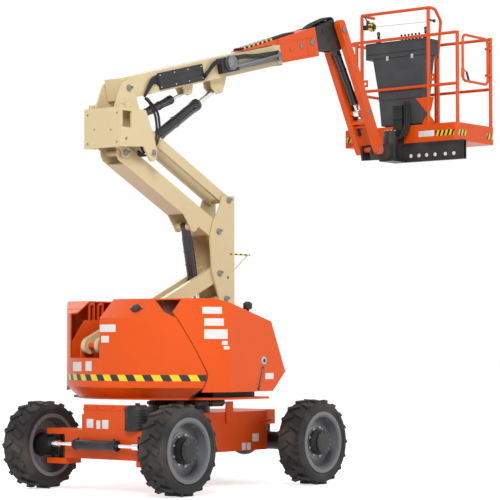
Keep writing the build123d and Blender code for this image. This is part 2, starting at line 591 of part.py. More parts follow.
def upper_upright():
    """Carrier of the main boom: inner ears on the arm's pins, and a wider box outside them."""
    x, z = HEAD_ARM_PIN
    bx, bz = BOOM_PIN
    lx, lz = LIFT_FOOT
    ear = [(x - 55, z + 20), (x - 40, z - 45), (x + 40, z - 45), (x + 60, z + 60), (x + 225, z + 270),
           (x + 225, z + 340), (bx + 105, bz - 60), (bx + 80, bz + 45), (bx, bz + 82), (bx - 80, bz + 45),
           (x - 150, z + 400), (x - 165, z + 60)]
    head = both(UPRIGHT_LANE, lambda a, b: slab(ear, a, b))
    side = [(x - 165, z + 39), (x + 146, z + 62), (lx - 55, lz - 50), (lx - 20, lz - 82), (lx + 22, lz - 82),
            (lx + 55, lz - 45), (lx + 60, lz + 30), (x + 291, z + 157), (x + 174, z + 405), (x - 165, z + 405)]
    outer = both(HEAD_LANE, lambda a, b: slab(side, a, b))
    outer -= block((x - 150, x - 25), (BOOM_Y - 300, BOOM_Y + 300), (z + 225, z + 378))
    outer -= cross_pin((x - 95, z + 116), 17, BOOM_Y - 300, BOOM_Y + 300)
    head += outer
    head += block((x - 177, x - 157), (BOOM_Y - HEAD_LANE[1], BOOM_Y + HEAD_LANE[1]), (z + 39, z + 410))
    for shelf in ([(x - 165, z + 390), (x - 165, z + 405), (x + 150, z + 405), (x + 150, z + 390)],
                  [(x - 165, z + 60), (x - 165, z + 75), (x - 60, z + 75), (x - 60, z + 60)]):
        head += both((UPRIGHT_LANE[0] + 2, HEAD_LANE[0] + 5), lambda a, b: slab(shelf, a, b))
    head += block((x + 40, x + 56), (BOOM_Y - UPRIGHT_LANE[0] - 5, BOOM_Y + UPRIGHT_LANE[0] + 5), (z + 140, z + 380))
    lug = [(x + 50, z + 150), (lx - 45, lz + 20), (lx - 30, lz - 35), (lx + 30, lz - 35), (lx + 45, lz + 10),
           (lx + 25, lz + 60), (x + 190, z + 200), (x + 210, z + 300), (x + 300, z + 325),
           (x + 328, z + 364), (x + 300, z + 400), (x + 50, z + 375)]
    head += both(LUG_LANE, lambda a, b: slab(lug, a, b))
    head = bored(head, HEAD_ARM_PIN, PIN_GAP)
    head += full_pin(HEAD_LINK_PIN) + full_pin(BOOM_PIN)
    for at in (LIFT_FOOT, LEVEL_FOOT):
        head += cross_pin(at, PIN_R, BOOM_Y - LUG_LANE[1] - 6, BOOM_Y + LUG_LANE[1] + 6)
    head += both((HEAD_LANE[0] + 5, HEAD_LANE[1] + 12), lambda a, b: cross_pin(LIFT_FOOT, 34, a, b))
    save("upper_upright", head)


# ---- main boom -----------------------------------------------------------------------------
def boom_plane(along, above=0):
    """Sketch plane square to the boom's axis, with Y to the right."""
    x, z = on_boom(along, above)
    axis = Vector(math.cos(math.radians(BOOM_ANGLE)), 0, math.sin(math.radians(BOOM_ANGLE)))
    return Plane(origin=(x, BOOM_Y, z), x_dir=(0, -1, 0), z_dir=axis)


def boom_box(along, width, depth, above=0):
    """Solid box along the boom's axis, between two distances from the boom pin."""
    sketch = boom_plane(along[0], above) * Rectangle(width, depth)
    return extrude(sketch, amount=along[1] - along[0])


def boom():
    inner_w = BOOM_W - 2 * BOOM_WALL
    inner_d = BOOM_DEPTH - 2 * BOOM_WALL
    base = boom_box((-BOOM_TAIL, BOOM_L), BOOM_W, BOOM_DEPTH)
    base -= boom_box((FLY_ROOT - 120, BOOM_L + 10), inner_w, inner_d)
    pads = boom_box((BOOM_L - 90, BOOM_L - 10), inner_w + 2, inner_d + 2)
    pads -= boom_box((BOOM_L - 95, BOOM_L - 5), inner_w - 2 * PAD_T, inner_d - 2 * PAD_T)
    base += pads
    base = bored(base, BOOM_PIN, PIN_GAP)
    lift_lug = [on_boom(1300, -95), on_boom(1300, -180), on_boom(1370, -255), on_boom(1445, -255),
                on_boom(1500, -190), on_boom(1560, -95)]
    level_lug = [on_boom(860, -95), on_boom(900, -190), on_boom(990, -190), on_boom(1030, -95)]
    for lug, eye in ((lift_lug, LIFT_EYE), (level_lug, LEVEL_EYE)):
        base += both(LUG_LANE, lambda a, b: slab(lug, a, b))
        base += eye_pins(eye)
    save("main_boom", base)

    y = BOOM_Y - BOOM_W / 2
    panel = slab([on_boom(460, 75), on_boom(460, -85), on_boom(1130, -85), on_boom(1130, 75)], y - 12, y)
    save("side_panel", panel)
    carrier = slab([on_boom(1370, 90), on_boom(1370, -60), on_boom(1640, -60), on_boom(1640, 90)], y - 60, y)
    carrier += slab([on_boom(1640, -10), on_boom(1640, -50), on_boom(2260, -20), on_boom(2260, 15)], y - 40, y)
    save("hose_carrier", carrier)

    fly_w = inner_w - 2 * PAD_T - 2 * RUN_GAP
    fly_d = inner_d - 2 * PAD_T - 2 * RUN_GAP
    fly = boom_box((FLY_ROOT, BOOM_L + 40), fly_w, fly_d)
    fly -= boom_box((FLY_ROOT - 10, BOOM_L + 60), fly_w - 12, fly_d - 12)
    nose_end = BOOM_L + 10 + NOSE_L
    start = BOOM_L + 10
    side = [on_boom(start, 158), on_boom(start, -90), on_boom(nose_end, -105), on_boom(nose_end, 204)]
    fly += both(NOSE_LANE, lambda a, b: slab(side, a, b))
    roof = [on_boom(start, 158), on_boom(start, 146), on_boom(nose_end - 115, 183), on_boom(nose_end - 115, 196)]
    fly += slab(roof, BOOM_Y - 90, BOOM_Y + 90)
    floor = [on_boom(start, -90), on_boom(start, -78), on_boom(nose_end - 320, -86), on_boom(nose_end - 320, -97)]
    fly += slab(floor, BOOM_Y - 90, BOOM_Y + 90)
    back = [on_boom(start, 150), on_boom(start, -85), on_boom(start + 12, -85), on_boom(start + 12, 150)]
    fly += slab(back, BOOM_Y - 90, BOOM_Y + 90)
    tray = [on_boom(1850, 110), on_boom(start, 110), on_boom(start, 158), on_boom(1850, 119)]
    fly += slab(tray, BOOM_Y - 80, BOOM_Y + 80)
    fly -= cross_pin(NOSE_PIN, PIN_R + PIN_GAP, BOOM_Y - 400, BOOM_Y + 400)
    save("fly_boom", fly)


# ---- jib -----------------------------------------------------------------------------------
def jib():
    nx, nz = NOSE_PIN
    jx, jz = JIB_TOP
    outline = [(nx - 60, nz - 40), (nx - 60, nz + 60), (nx + 20, nz + 150), (jx - 120, jz + 100),
               (jx + 30, jz + 60), (jx + 60, jz), (jx + 75, jz - 190), (jx - 10, jz - 225),
               (nx + 150, nz - 60), (nx + 40, nz - 60)]
    head = both(JIB_HEAD_LANE, lambda a, b: slab(outline, a, b))
    head += block((jx - 200, jx - 150), (BOOM_Y - 50, BOOM_Y + 50), (jz - 60, jz + 60))
    head += cross_pin(NOSE_PIN, PIN_R, BOOM_Y - NOSE_LANE[1] - 3, BOOM_Y + NOSE_LANE[1] + 3)
    head += cross_pin(JIB_TOP, PIN_R, BOOM_Y - JIB_LANE[1] - 8, BOOM_Y + JIB_LANE[1] + 8)
    head += cross_pin(JIB_CYL_TOP, PIN_R, BOOM_Y - 75, BOOM_Y + 75)
    save("jib_head", head)

    arm = both(JIB_LANE, lambda a, b: bar(polar(JIB_TOP, -60, JIB_ANGLE), JIB_END, JIB_DEPTH, a, b))
    cross = strip(polar(JIB_TOP, 1045, JIB_ANGLE), polar(JIB_TOP, 1075, JIB_ANGLE), 90, BOOM_Y - 90, BOOM_Y + 90)
    arm += cross
    arm += both((EYE_HALF_W + 2, JIB_LANE[0] + 5), lambda a, b: cross_pin(JIB_CYL_FOOT, PIN_R, a, b))
    arm += cross_pin(SLAVE_TOP, 18, BOOM_Y - 90, BOOM_Y + 90)
    arm -= cross_pin(JIB_TOP, PIN_R + PIN_GAP, BOOM_Y - 400, BOOM_Y + 400)
    arm += cross_pin(JIB_END, PIN_R, BOOM_Y - JIB_LANE[1] - 8, BOOM_Y + JIB_LANE[1] + 8)
    save("jib_arm", arm)

    ex, ez = JIB_END
    outline = [(ex - 45, ez + 40), (ex + 40, ez + 60), (ROTATOR_X - 50, ez + 90), (ROTATOR_X - 50, ez - 50),
               (ROTATOR_X - 105, ez - 50), (ROTATOR_X - 160, ez - 90), (ex - 45, ez - 120), (ex - 60, ez - 60)]
    bracket = both(JIB_HEAD_LANE, lambda a, b: slab(outline, a, b))
    bracket += post(ROTATOR_X, BOOM_Y, ROTATOR_R, ez - 62 + RUN_GAP, ez + 180)
    bracket -= post(ROTATOR_X, BOOM_Y, ROTATOR_PIN_R + PIN_GAP, 0, 6000)
    save("rotator", bored(bracket, JIB_END, PIN_GAP))


# ---- platform --------------------------------------------------------------------------------
def platform():
    ez = JIB_END[1]
    x0, x1 = PLATFORM_X
    y0, y1 = PLATFORM_Y
    low = ez - 100
    beam_x = (x0 - 12, x0 + 52)
    mount = block((ROTATOR_X - 90, beam_x[1]), (BOOM_Y - 90, BOOM_Y + 90), (low, low + 38))
    beam = block(beam_x, (BOOM_Y - 850, BOOM_Y + 90), (low, FLOOR_Z))
    beam -= block((beam_x[0] + 8, beam_x[1] - 8), (BOOM_Y - 900, BOOM_Y + 82), (low + 8, FLOOR_Z - 8))
    mount += beam
    mount -= post(ROTATOR_X, BOOM_Y, ROTATOR_R + 6, low + 40 - RUN_GAP, 9000)
    mount += post(ROTATOR_X, BOOM_Y, ROTATOR_PIN_R, low + 10, ez + 240)
    mount += post(ROTATOR_X, BOOM_Y, 70, ez + 180 + RUN_GAP, ez + 240)
    mount += block((ROTATOR_X, x0 - 5), (BOOM_Y - 60, BOOM_Y + 60), (ez + 190, ez + 235))
    mount += block((x0 - 35, x0), (BOOM_Y - 60, BOOM_Y + 60), (low + 30, ez + 540))
    save("platform_mount", mount)

    deck = FLOOR_Z + SHEET_T
    floor = block((x0, x1), (y0, y1), (FLOOR_Z, deck))
    save("platform_floor", fillet(floor.edges().filter_by(Axis.Z), KICK_CORNER))
    kick = block((x0, x1), (y0, y1), (deck, FLOOR_Z + KICK_H))
    kick = fillet(kick.edges().filter_by(Axis.Z), KICK_CORNER)
    hollow = block((x0 + SHEET_T, x1 - SHEET_T), (y0 + SHEET_T, y1 - SHEET_T), (deck, FLOOR_Z + KICK_H))
    save("kick_plates", kick - fillet(hollow.edges().filter_by(Axis.Z), KICK_CORNER - SHEET_T))

    inset = SHEET_T + POST_R + 2
    xr = x0 + inset
    xf = x1 - inset
    yn = y0 + inset
    yf = y1 - inset
    corner = 110
    rails = []
    for z in (TOP_RAIL_Z, MID_RAIL_Z):
        rails.append(tube_run([(xf, yn, z), (xf, yf, z), (xr, yf, z), (xr, yn, z)], RAIL_R, corner))
    hinge_x = xf - GATE_HINGE
    for x, y, top in ((xf, yn, TOP_RAIL_Z + 10), (x0 + 60, yn, TOP_RAIL_Z + 10), (xf, BOOM_Y, TOP_RAIL_Z),
                      (xf, yf - corner - 20, TOP_RAIL_Z), (xr, yf - corner - 20, TOP_RAIL_Z),
                      (xr, HOOP_POST_Y[0], HOOP_Z), (xr, HOOP_POST_Y[1], HOOP_Z)):
        rails.append(post(x, y, POST_R, deck, top))
    for z in (4350, 4650):
        rails.append(block((hinge_x - 24, xf), (yn - 24, yn + 24), (z - 12, z + 12)))
    for y in HOOP_POST_Y:
        rails.append(block((xr - 4, xr + 4), (y - 80, y - 15), (ANCHOR_Z - 40, ANCHOR_Z + 40)))
    guard = rails[0].fuse(*rails[1:])
    for y in HOOP_POST_Y:
        guard -= Pos(xr, y - ANCHOR_IN, ANCHOR_Z) * Rot(Y=90) * Cylinder(ANCHOR_R, 20)
    guard -= post(hinge_x, yn, GATE_R + PIN_GAP, 4300, 4700)
    middle = (x0 + x1) / 2
    bend = yf - corner + 8
    save("rails_far", guard & block((x0, x1), (bend, y1), (deck, HOOP_Z)))
    save("rails_rear", guard & block((x0, middle), (y0, bend), (deck, HOOP_Z)))
    save("rails_front", guard & block((middle, x1), (y0, bend), (deck, HOOP_Z)))

    stile = x0 + 168
    gate_low = MID_RAIL_Z + 45
    gate_top = TOP_RAIL_Z - 8
    gate = tube_run([(hinge_x, yn, 4500), (hinge_x, yn, gate_top), (stile, yn, gate_top),
                     (stile, yn, gate_low), (hinge_x, yn, gate_low), (hinge_x, yn, 4490)], GATE_R, 60)
    save("gate", gate + post(hinge_x, yn, GATE_R, 4480, 4510))

    top = HOOP_Z + RAIL_R
    leg_x = xr + 310
    hoop = tube_run([(xr, HOOP_POST_Y[1], top), (xr, HOOP_POST_Y[0] - 75, top), (leg_x - 36, -60, top - 112),
                     (leg_x, 0, TOP_RAIL_Z - 165), (leg_x, 0, deck)], RAIL_R, 60)
    hoop += round_bar((xr, HOOP_POST_Y[1], top), (xr + 240, HOOP_POST_Y[1], top), RAIL_R)
    save("guard_hoop", hoop)

    console_x = xr + POST_R + RUN_GAP
    faces = []
    # near and far edge from the boom's plane, height above the floor, depth
    for near, far, z, depth in ((-247, 278, 220, 150), (-281, 319, 600, 169), (-315, 394, 990, 189)):
        middle = Pos(console_x + depth / 2, BOOM_Y + (near + far) / 2)
        faces.append(Plane.XY.offset(FLOOR_Z + z) * middle * Rectangle(depth, far - near))
    console = loft(faces, ruled=True)
    console += block((console_x, console_x + 250), (BOOM_Y - 325, BOOM_Y + 490), (FLOOR_Z + 990, TOP_RAIL_Z - 20))
    console += block((console_x + 20, console_x + 130), (BOOM_Y - 220, BOOM_Y + 240), (deck, FLOOR_Z + 230))
    save("console", console)


def main():
    chassis()
    front_axle()
    rear_axle()
    for side in SIDES:
        knuckle(side)
    wheels()
    turntable()
    lower_arm()
    lower_upright()
    mid_arm()
    upper_upright()
    boom()
    jib()
    # bore and rod radius, the barrel's share of the length, travel left to retract, eye radii
    cylinder_pair("tower_cylinder", TOWER_TOP, TOWER_FOOT, 42, 26, 0.69, 168, 42, 42)
    cylinder_pair("lift_cylinder", LIFT_FOOT, LIFT_EYE, 48, 28, 0.76, 130, 42, 46)
    cylinder_pair("level_cylinder", LEVEL_FOOT, LEVEL_EYE, 32, 16, 0.70, 80, 40, 35)
    cylinder_pair("jib_cylinder", JIB_CYL_TOP, JIB_CYL_FOOT, 32, 20, 0.85, 10, 42, 42)
    platform()


main()
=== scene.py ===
import json
import math
import bpy
from mathutils import Matrix, Vector


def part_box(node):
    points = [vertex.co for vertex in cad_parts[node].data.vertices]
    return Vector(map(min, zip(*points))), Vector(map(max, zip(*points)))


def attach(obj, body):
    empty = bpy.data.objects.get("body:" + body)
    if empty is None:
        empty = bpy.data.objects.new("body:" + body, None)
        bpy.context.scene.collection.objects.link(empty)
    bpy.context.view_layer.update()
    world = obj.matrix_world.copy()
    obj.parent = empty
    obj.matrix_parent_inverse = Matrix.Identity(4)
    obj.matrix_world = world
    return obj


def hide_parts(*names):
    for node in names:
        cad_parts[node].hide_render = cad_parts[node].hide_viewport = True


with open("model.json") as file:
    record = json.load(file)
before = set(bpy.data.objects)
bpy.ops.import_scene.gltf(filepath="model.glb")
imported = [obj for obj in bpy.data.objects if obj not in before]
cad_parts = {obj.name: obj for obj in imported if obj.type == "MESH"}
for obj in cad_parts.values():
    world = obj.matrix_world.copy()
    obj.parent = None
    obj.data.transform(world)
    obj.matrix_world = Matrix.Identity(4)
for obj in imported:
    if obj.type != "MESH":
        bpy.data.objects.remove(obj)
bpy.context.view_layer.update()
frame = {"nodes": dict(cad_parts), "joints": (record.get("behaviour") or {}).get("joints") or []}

NODES = frame["nodes"]
JOINTS = {joint["name"]: joint for joint in frame["joints"]}


def pivot(joint):
    """A joint's point, as a vector."""
    return Vector(JOINTS[joint]["pos_m"])


# ---- places read from the frame, in metres ---------------------------------------------------
SLEW = pivot("swing")
BOOM_Y = pivot("boom_raise").y
TAIL_R = SLEW.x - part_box("tail_cover")[0][0]
SIDE_Y = SLEW.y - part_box("hood_near")[0][1]
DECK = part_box("platform_floor")
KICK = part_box("kick_plates")
CONSOLE_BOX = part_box("console")
ACROSS = Vector((0, 1, 0))
UP = Vector((0, 0, 1))


def spot(x, y, z):
    """A point from the slew axis, above the ground."""
    return Vector((SLEW.x + x, SLEW.y + y, z))


class Member:
    """Points along a member: from one joint towards another, to either side, and square to it."""

    def __init__(self, start, end=None, axis=None):
        self.start = start
        self.axis = Vector(axis).normalized() if axis else (end - start).normalized()
        self.up = self.axis.cross(ACROSS)
        if self.up.z < 0:
            self.up = -self.up

    def at(self, along, across=0.0, above=0.0):
        return self.start + self.axis * along + ACROSS * across + self.up * above


BOOM = Member(pivot("boom_raise"), axis=JOINTS["telescope"]["axis"])
MID_ARM = Member(pivot("mid_arm_pivot"), pivot("upper_upright_pivot"))
JIB = Member(pivot("jib_raise"), pivot("rotator_level"))
WHEELS = {"front_left": "wheel_front_left", "front_right": "wheel_front_right",
          "rear_left": "wheel_rear_left", "rear_right": "wheel_rear_right"}


# ---- shader groups ------------------------------------------------------------------------------
def feed(tree, socket, value):
    """Link a socket to another, or give it a plain value."""
    if isinstance(value, bpy.types.NodeSocket):
        tree.links.new(value, socket)
    else:
        socket.default_value = value


def number(tree, operation, *values):
    """Result of a Math node."""
    node = tree.nodes.new("ShaderNodeMath")
    node.operation = operation
    for socket, value in zip(node.inputs, values):
        feed(tree, socket, value)
    return node.outputs["Value"]


def vector(tree, operation, *values, result="Vector"):
    """Result of a Vector Math node."""
    node = tree.nodes.new("ShaderNodeVectorMath")
    node.operation = operation
    for socket, value in zip(node.inputs, values):
        feed(tree, socket, value)
    return node.outputs[result]


def mixed(tree, share, first, second):
    """One colour, and by its share another."""
    node = tree.nodes.new("ShaderNodeMix")
    node.data_type = "RGBA"
    for label, value in (("Factor", share), ("A", first), ("B", second)):
        feed(tree, node.inputs[label], value)
    return node.outputs["Result"]


def noise(tree, place, scale, detail):
    node = tree.nodes.new("ShaderNodeTexNoise")
    for label, value in (("Vector", place), ("Scale", scale), ("Detail", detail)):
        feed(tree, node.inputs[label], value)
    return node.outputs["Fac"]


def object_place(tree):
    return tree.nodes.new("ShaderNodeTexCoord").outputs["Object"]


def new_group(name, inputs, outputs):
    group = bpy.data.node_groups.new(name, "ShaderNodeTree")
    for label, kind, value in inputs:
        socket = group.interface.new_socket(label, in_out="INPUT", socket_type=kind)
        socket.default_value = value
    for label, kind in outputs:
        group.interface.new_socket(label, in_out="OUTPUT", socket_type=kind)
    return group


def make_finish_group():
    """Colour that drifts a little, dust that gathers in patches, and fine grain for bump."""
    group = new_group("surface_finish",
                      (("Colour", "NodeSocketColor", (0.8, 0.8, 0.8, 1)),
                       ("Dust Colour", "NodeSocketColor", (0.35, 0.30, 0.25, 1)),
                       ("Dust", "NodeSocketFloat", 0.1),
                       ("Drift", "NodeSocketFloat", 0.1),
                       ("Grain Scale", "NodeSocketFloat", 400.0),
                       ("Roughness", "NodeSocketFloat", 0.4)),
                      (("Colour", "NodeSocketColor"), ("Roughness", "NodeSocketFloat"),
                       ("Height", "NodeSocketFloat")))
    entry = group.nodes.new("NodeGroupInput").outputs
    leave = group.nodes.new("NodeGroupOutput").inputs
    place = object_place(group)
    broad = noise(group, place, 3.5, 5)
    patch = group.nodes.new("ShaderNodeMapRange")
    for label, value in (("Value", broad), ("From Min", 0.45), ("From Max", 0.75)):
        feed(group, patch.inputs[label], value)
    dust = number(group, "MULTIPLY", patch.outputs["Result"], entry["Dust"])

    shade = group.nodes.new("ShaderNodeHueSaturation")
    drift = number(group, "MULTIPLY_ADD", number(group, "SUBTRACT", broad, 0.5), entry["Drift"], 1.0)
    feed(group, shade.inputs["Color"], entry["Colour"])
    feed(group, shade.inputs["Value"], drift)

    feed(group, leave["Colour"], mixed(group, dust, shade.outputs["Color"], entry["Dust Colour"]))
    feed(group, leave["Roughness"], number(group, "MULTIPLY_ADD", dust, 0.45, entry["Roughness"]))
    feed(group, leave["Height"], noise(group, place, entry["Grain Scale"], 3))
    return group


FINISH = make_finish_group()


def principled(name):
    """A new material, its node tree and its shader."""
    material = bpy.data.materials.new(name)
    material.use_nodes = True
    return material, material.node_tree, material.node_tree.nodes["Principled BSDF"]


def finished(name, colour, roughness, metallic=0.0, coat=0.0, dust=0.1, drift=0.1, grain=400.0, bump=0.02):
    """A material from the shared finish group."""
    material, tree, shader = principled(name)
    group = tree.nodes.new("ShaderNodeGroup")
    group.node_tree = FINISH
    for label, value in (("Colour", (*colour, 1)), ("Dust", dust), ("Drift", drift), ("Grain Scale", grain),
                         ("Roughness", roughness)):
        feed(tree, group.inputs[label], value)
    relief = tree.nodes.new("ShaderNodeBump")
    for label, value in (("Strength", bump), ("Distance", 0.002), ("Height", group.outputs["Height"])):
        feed(tree, relief.inputs[label], value)
    for label, value in (("Base Color", group.outputs["Colour"]), ("Roughness", group.outputs["Roughness"]),
                         ("Normal", relief.outputs["Normal"]), ("Metallic", metallic), ("Coat Weight", coat),
                         ("Coat Roughness", 0.12)):
        feed(tree, shader.inputs[label], value)
    if not metallic:
        feed(tree, shader.inputs["Specular IOR Level"], 0.3)
    return material


STRIPE_BLACK = (0.012, 0.012, 0.012, 1)
STRIPE_YELLOW = (0.93, 0.66, 0.015, 1)


def hazard_stripes(name, axis_mix, pitch, round_centre=None, radius=1.0, slant=0.0):
    """Yellow and black bands, along a sum of Object coordinates or round an upright axis."""
    material, tree, shader = principled(name)
    if round_centre is None:
        run = vector(tree, "DOT_PRODUCT", object_place(tree), axis_mix, result="Value")
    else:
        split = tree.nodes.new("ShaderNodeSeparateXYZ")
        feed(tree, split.inputs["Vector"], vector(tree, "SUBTRACT", object_place(tree), round_centre))
        x, y, z = split.outputs
        turn = number(tree, "ARCTAN2", y, number(tree, "MULTIPLY", x, -1.0))
        run = number(tree, "MULTIPLY_ADD", z, slant, number(tree, "MULTIPLY", turn, radius))
    share = number(tree, "FRACT", number(tree, "DIVIDE", run, pitch))
    colour = mixed(tree, number(tree, "LESS_THAN", share, 0.5), STRIPE_BLACK, STRIPE_YELLOW)
    feed(tree, shader.inputs["Base Color"], colour)
    feed(tree, shader.inputs["Roughness"], 0.35)
    return material


ORANGE = finished("orange_paint", (0.80, 0.088, 0.002), 0.40, coat=0.10, dust=0.0, drift=0.10, grain=260,
                  bump=0.015)
ORANGE_STEEL = finished("orange_steel_paint", (0.76, 0.082, 0.002), 0.45, coat=0.05, dust=0.03, drift=0.14,
                        grain=180, bump=0.03)
CREAM = finished("cream_paint", (0.72, 0.58, 0.335), 0.40, coat=0.2, dust=0.06, drift=0.12, grain=220, bump=0.02)
BLACK_STEEL = finished("black_steel_paint", (0.018, 0.018, 0.020), 0.42, dust=0.12, drift=0.3, grain=200,
                       bump=0.05)
BLACK_GLOSS = finished("black_gloss_paint", (0.010, 0.010, 0.011), 0.25, coat=0.4, dust=0.05, drift=0.2)
CONSOLE = finished("moulded_console", (0.055, 0.057, 0.062), 0.5, dust=0.08, drift=0.2, grain=600, bump=0.12)
RIM_GREY = (0.16, 0.165, 0.175)
RIM = finished("rim_grey_paint", RIM_GREY, 0.36, metallic=0.25, dust=0.12, drift=0.2)
RUBBER = finished("tyre_rubber", (0.028, 0.027, 0.027), 0.78, dust=0.22, drift=0.35, grain=320, bump=0.25)
HOSE = finished("hose_rubber", (0.012, 0.012, 0.013), 0.5, dust=0.05, drift=0.2, grain=900, bump=0.1)
CHROME = finished("chrome_rod_metal", (0.72, 0.72, 0.74), 0.12, metallic=1.0, dust=0.03, drift=0.05)
ZINC = finished("zinc_plate", (0.55, 0.54, 0.50), 0.35, metallic=0.85, dust=0.1, drift=0.2)
WHITE_PLATE = finished("blank_plate_white", (0.80, 0.80, 0.78), 0.4, dust=0.05, drift=0.04)
RED = finished("red_button_plastic", (0.55, 0.02, 0.02), 0.35, coat=0.3, dust=0.03)
SEAL = finished("seam_rubber", (0.008, 0.008, 0.008), 0.6, dust=0.05, drift=0.1, grain=700, bump=0.08)
GREY_METAL = finished("grey_cast_metal", (0.20, 0.20, 0.21), 0.45, metallic=0.6, dust=0.15, drift=0.3,
                      grain=260, bump=0.08)
PALE_BLUE = finished("blank_plate_blue", (0.35, 0.60, 0.68), 0.4, dust=0.05, drift=0.05)

WHEEL_HUB_R = 0.1125            # black inside this, rim paint outside


def masked_rim(name, centre):
    """Rim paint with the hub inside it in black, by the distance from the wheel's axis."""
    material = finished(name, RIM_GREY, 0.36, metallic=0.15, dust=0.03, drift=0.2)
    tree = material.node_tree
    group = next(node for node in tree.nodes if node.type == "GROUP")
    off_axis = vector(tree, "MULTIPLY", vector(tree, "SUBTRACT", object_place(tree), centre), (1, 0, 1))
    outside = number(tree, "GREATER_THAN", vector(tree, "LENGTH", off_axis, result="Value"), WHEEL_HUB_R)
    feed(tree, group.inputs["Colour"], mixed(tree, outside, (0.008, 0.008, 0.009, 1), (*RIM_GREY, 1)))
    return material


RIM_FRONT = masked_rim("rim_front_paint", pivot("wheel_front_left_spin"))
RIM_REAR = masked_rim("rim_rear_paint", pivot("wheel_rear_left_spin"))

NODE_FINISH = {
    "chassis_frame": ORANGE_STEEL, "front_axle": ORANGE_STEEL, "front_box": ORANGE_STEEL,
    "front_canister": BLACK_STEEL, "swing_bearing": BLACK_STEEL, "rear_axle": BLACK_STEEL,
    "knuckle_left": BLACK_STEEL, "knuckle_right": BLACK_STEEL, "steer_barrel": BLACK_STEEL, "steer_rod": CHROME,
    "turntable_frame": ORANGE_STEEL, "counterweight": BLACK_STEEL, "engine": BLACK_STEEL,
    "tail_cover": ORANGE, "hood_near": ORANGE, "hood_far": ORANGE,
    "lower_arm": CREAM, "lower_link": CREAM, "lower_upright": CREAM, "mid_arm": CREAM, "mid_link": CREAM,
    "upper_upright": CREAM, "main_boom": CREAM, "side_panel": BLACK_STEEL, "hose_carrier": BLACK_STEEL,
    "fly_boom": ORANGE, "jib_head": BLACK_STEEL, "jib_arm": ORANGE, "rotator": BLACK_STEEL,
    "platform_mount": BLACK_STEEL, "platform_floor": ORANGE, "kick_plates": ORANGE, "guard_hoop": ORANGE,
    "rails_rear": ORANGE, "rails_far": ORANGE, "rails_front": ORANGE, "gate": ORANGE, "console": CONSOLE,
}
for wheel in WHEELS:
    NODE_FINISH["tyre_" + wheel] = RUBBER
    NODE_FINISH["rim_" + wheel] = RIM_FRONT if wheel.startswith("front") else RIM_REAR
for cylinder in ("tower", "lift", "level", "jib"):
    NODE_FINISH[cylinder + "_cylinder_barrel"] = BLACK_GLOSS
    NODE_FINISH[cylinder + "_cylinder_rod"] = CHROME
for name, finish in NODE_FINISH.items():
    NODES[name].material_slots[0].material = finish


# ---- modelling helpers ---------------------------------------------------------------------------
def clear():
    bpy.ops.object.select_all(action="DESELECT")


def settle(piece, finish, body, smooth=35):
    """Place kept in the mesh, edges softened for the eye, one finish, and a body to ride on."""
    clear()
    piece.select_set(True)
    bpy.context.view_layer.objects.active = piece
    bpy.ops.object.transform_apply(location=True, rotation=True, scale=True)
    bpy.ops.object.shade_smooth_by_angle(angle=math.radians(smooth))
    if finish is not None:
        piece.data.materials.clear()
        piece.data.materials.append(finish)
    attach(piece, body)
    return piece


def applied(piece, modifier):
    bpy.context.view_layer.objects.active = piece
    bpy.ops.object.modifier_apply(modifier=modifier.name)


def bevelled(piece, width, segments=2):
    modifier = piece.modifiers.new("soft_edges", "BEVEL")
    modifier.width = width
    modifier.segments = segments
    modifier.limit_method = "ANGLE"
    applied(piece, modifier)


def raw_block(name, low, high, bevel=0.003):
    """A block between two corners, with its edges broken."""
    clear()
    low, high = Vector(low), Vector(high)
    bpy.ops.mesh.primitive_cube_add(size=1, location=(low + high) / 2)
    piece = bpy.context.active_object
    piece.name = name
    piece.scale = high - low
    bpy.ops.object.transform_apply(location=True, rotation=True, scale=True)
    if bevel:
        bevelled(piece, bevel)
    return piece


def raw_round(name, start, end, radius, sides=24, bevel=0.0):
    """A round bar between two points."""
    clear()
    start, end = Vector(start), Vector(end)
    line = end - start
    bpy.ops.mesh.primitive_cylinder_add(vertices=sides, radius=radius, depth=line.length,
                                        location=(start + end) / 2,
                                        rotation=line.to_track_quat("Z", "Y").to_euler())
    piece = bpy.context.active_object
    piece.name = name
    bpy.ops.object.transform_apply(location=True, rotation=True, scale=True)
    if bevel:
        bevelled(piece, bevel)
    return piece


def raw_pipe(name, points, radius, order=3, resolution=3, caps=True):
    """A bent pipe through the space of its control points."""
    clear()
    curve = bpy.data.curves.new(name, "CURVE")
    curve.dimensions = "3D"
    spline = curve.splines.new("NURBS")
    spline.points.add(len(points) - 1)
    for point, place in zip(spline.points, points):
        point.co = (*place, 1)
    spline.order_u = order
    spline.use_endpoint_u = True
    curve.bevel_depth = radius
    curve.bevel_resolution = resolution
    curve.use_fill_caps = caps
    piece = bpy.data.objects.new(name, curve)
    bpy.context.scene.collection.objects.link(piece)
    piece.select_set(True)
    bpy.context.view_layer.objects.active = piece
    bpy.ops.object.convert(target="MESH")
    return bpy.context.active_object


def bar(at, way, first, last, radius, sides=24, bevel=0.0):
    """A round bar along a direction, between two distances from a point."""
    return raw_round("bar", at + way * first, at + way * last, radius, sides, bevel)


def raw_ring(centre, turn, radius, thick, sides=96, round_sides=8):
    """A ring of round section."""
    clear()
    bpy.ops.mesh.primitive_torus_add(major_radius=radius, minor_radius=thick, major_segments=sides,
                                     minor_segments=round_sides, location=centre, rotation=turn)
    return bpy.context.active_object


def raw_ball(centre, radius, segments):
    clear()
    bpy.ops.mesh.primitive_uv_sphere_add(segments=segments, ring_count=segments // 2, radius=radius,
                                         location=centre)
    return bpy.context.active_object


def shares(count, first=0.0):
    """Angles that divide a turn evenly."""
    return [2 * math.pi * (step + first) / count for step in range(count)]


def joined(name, pieces):
    clear()
    for piece in pieces:
        piece.select_set(True)
    bpy.context.view_layer.objects.active = pieces[0]
    if len(pieces) > 1:
        bpy.ops.object.join()
    whole = bpy.context.active_object
    whole.name = name
    whole.data.name = name
    return whole


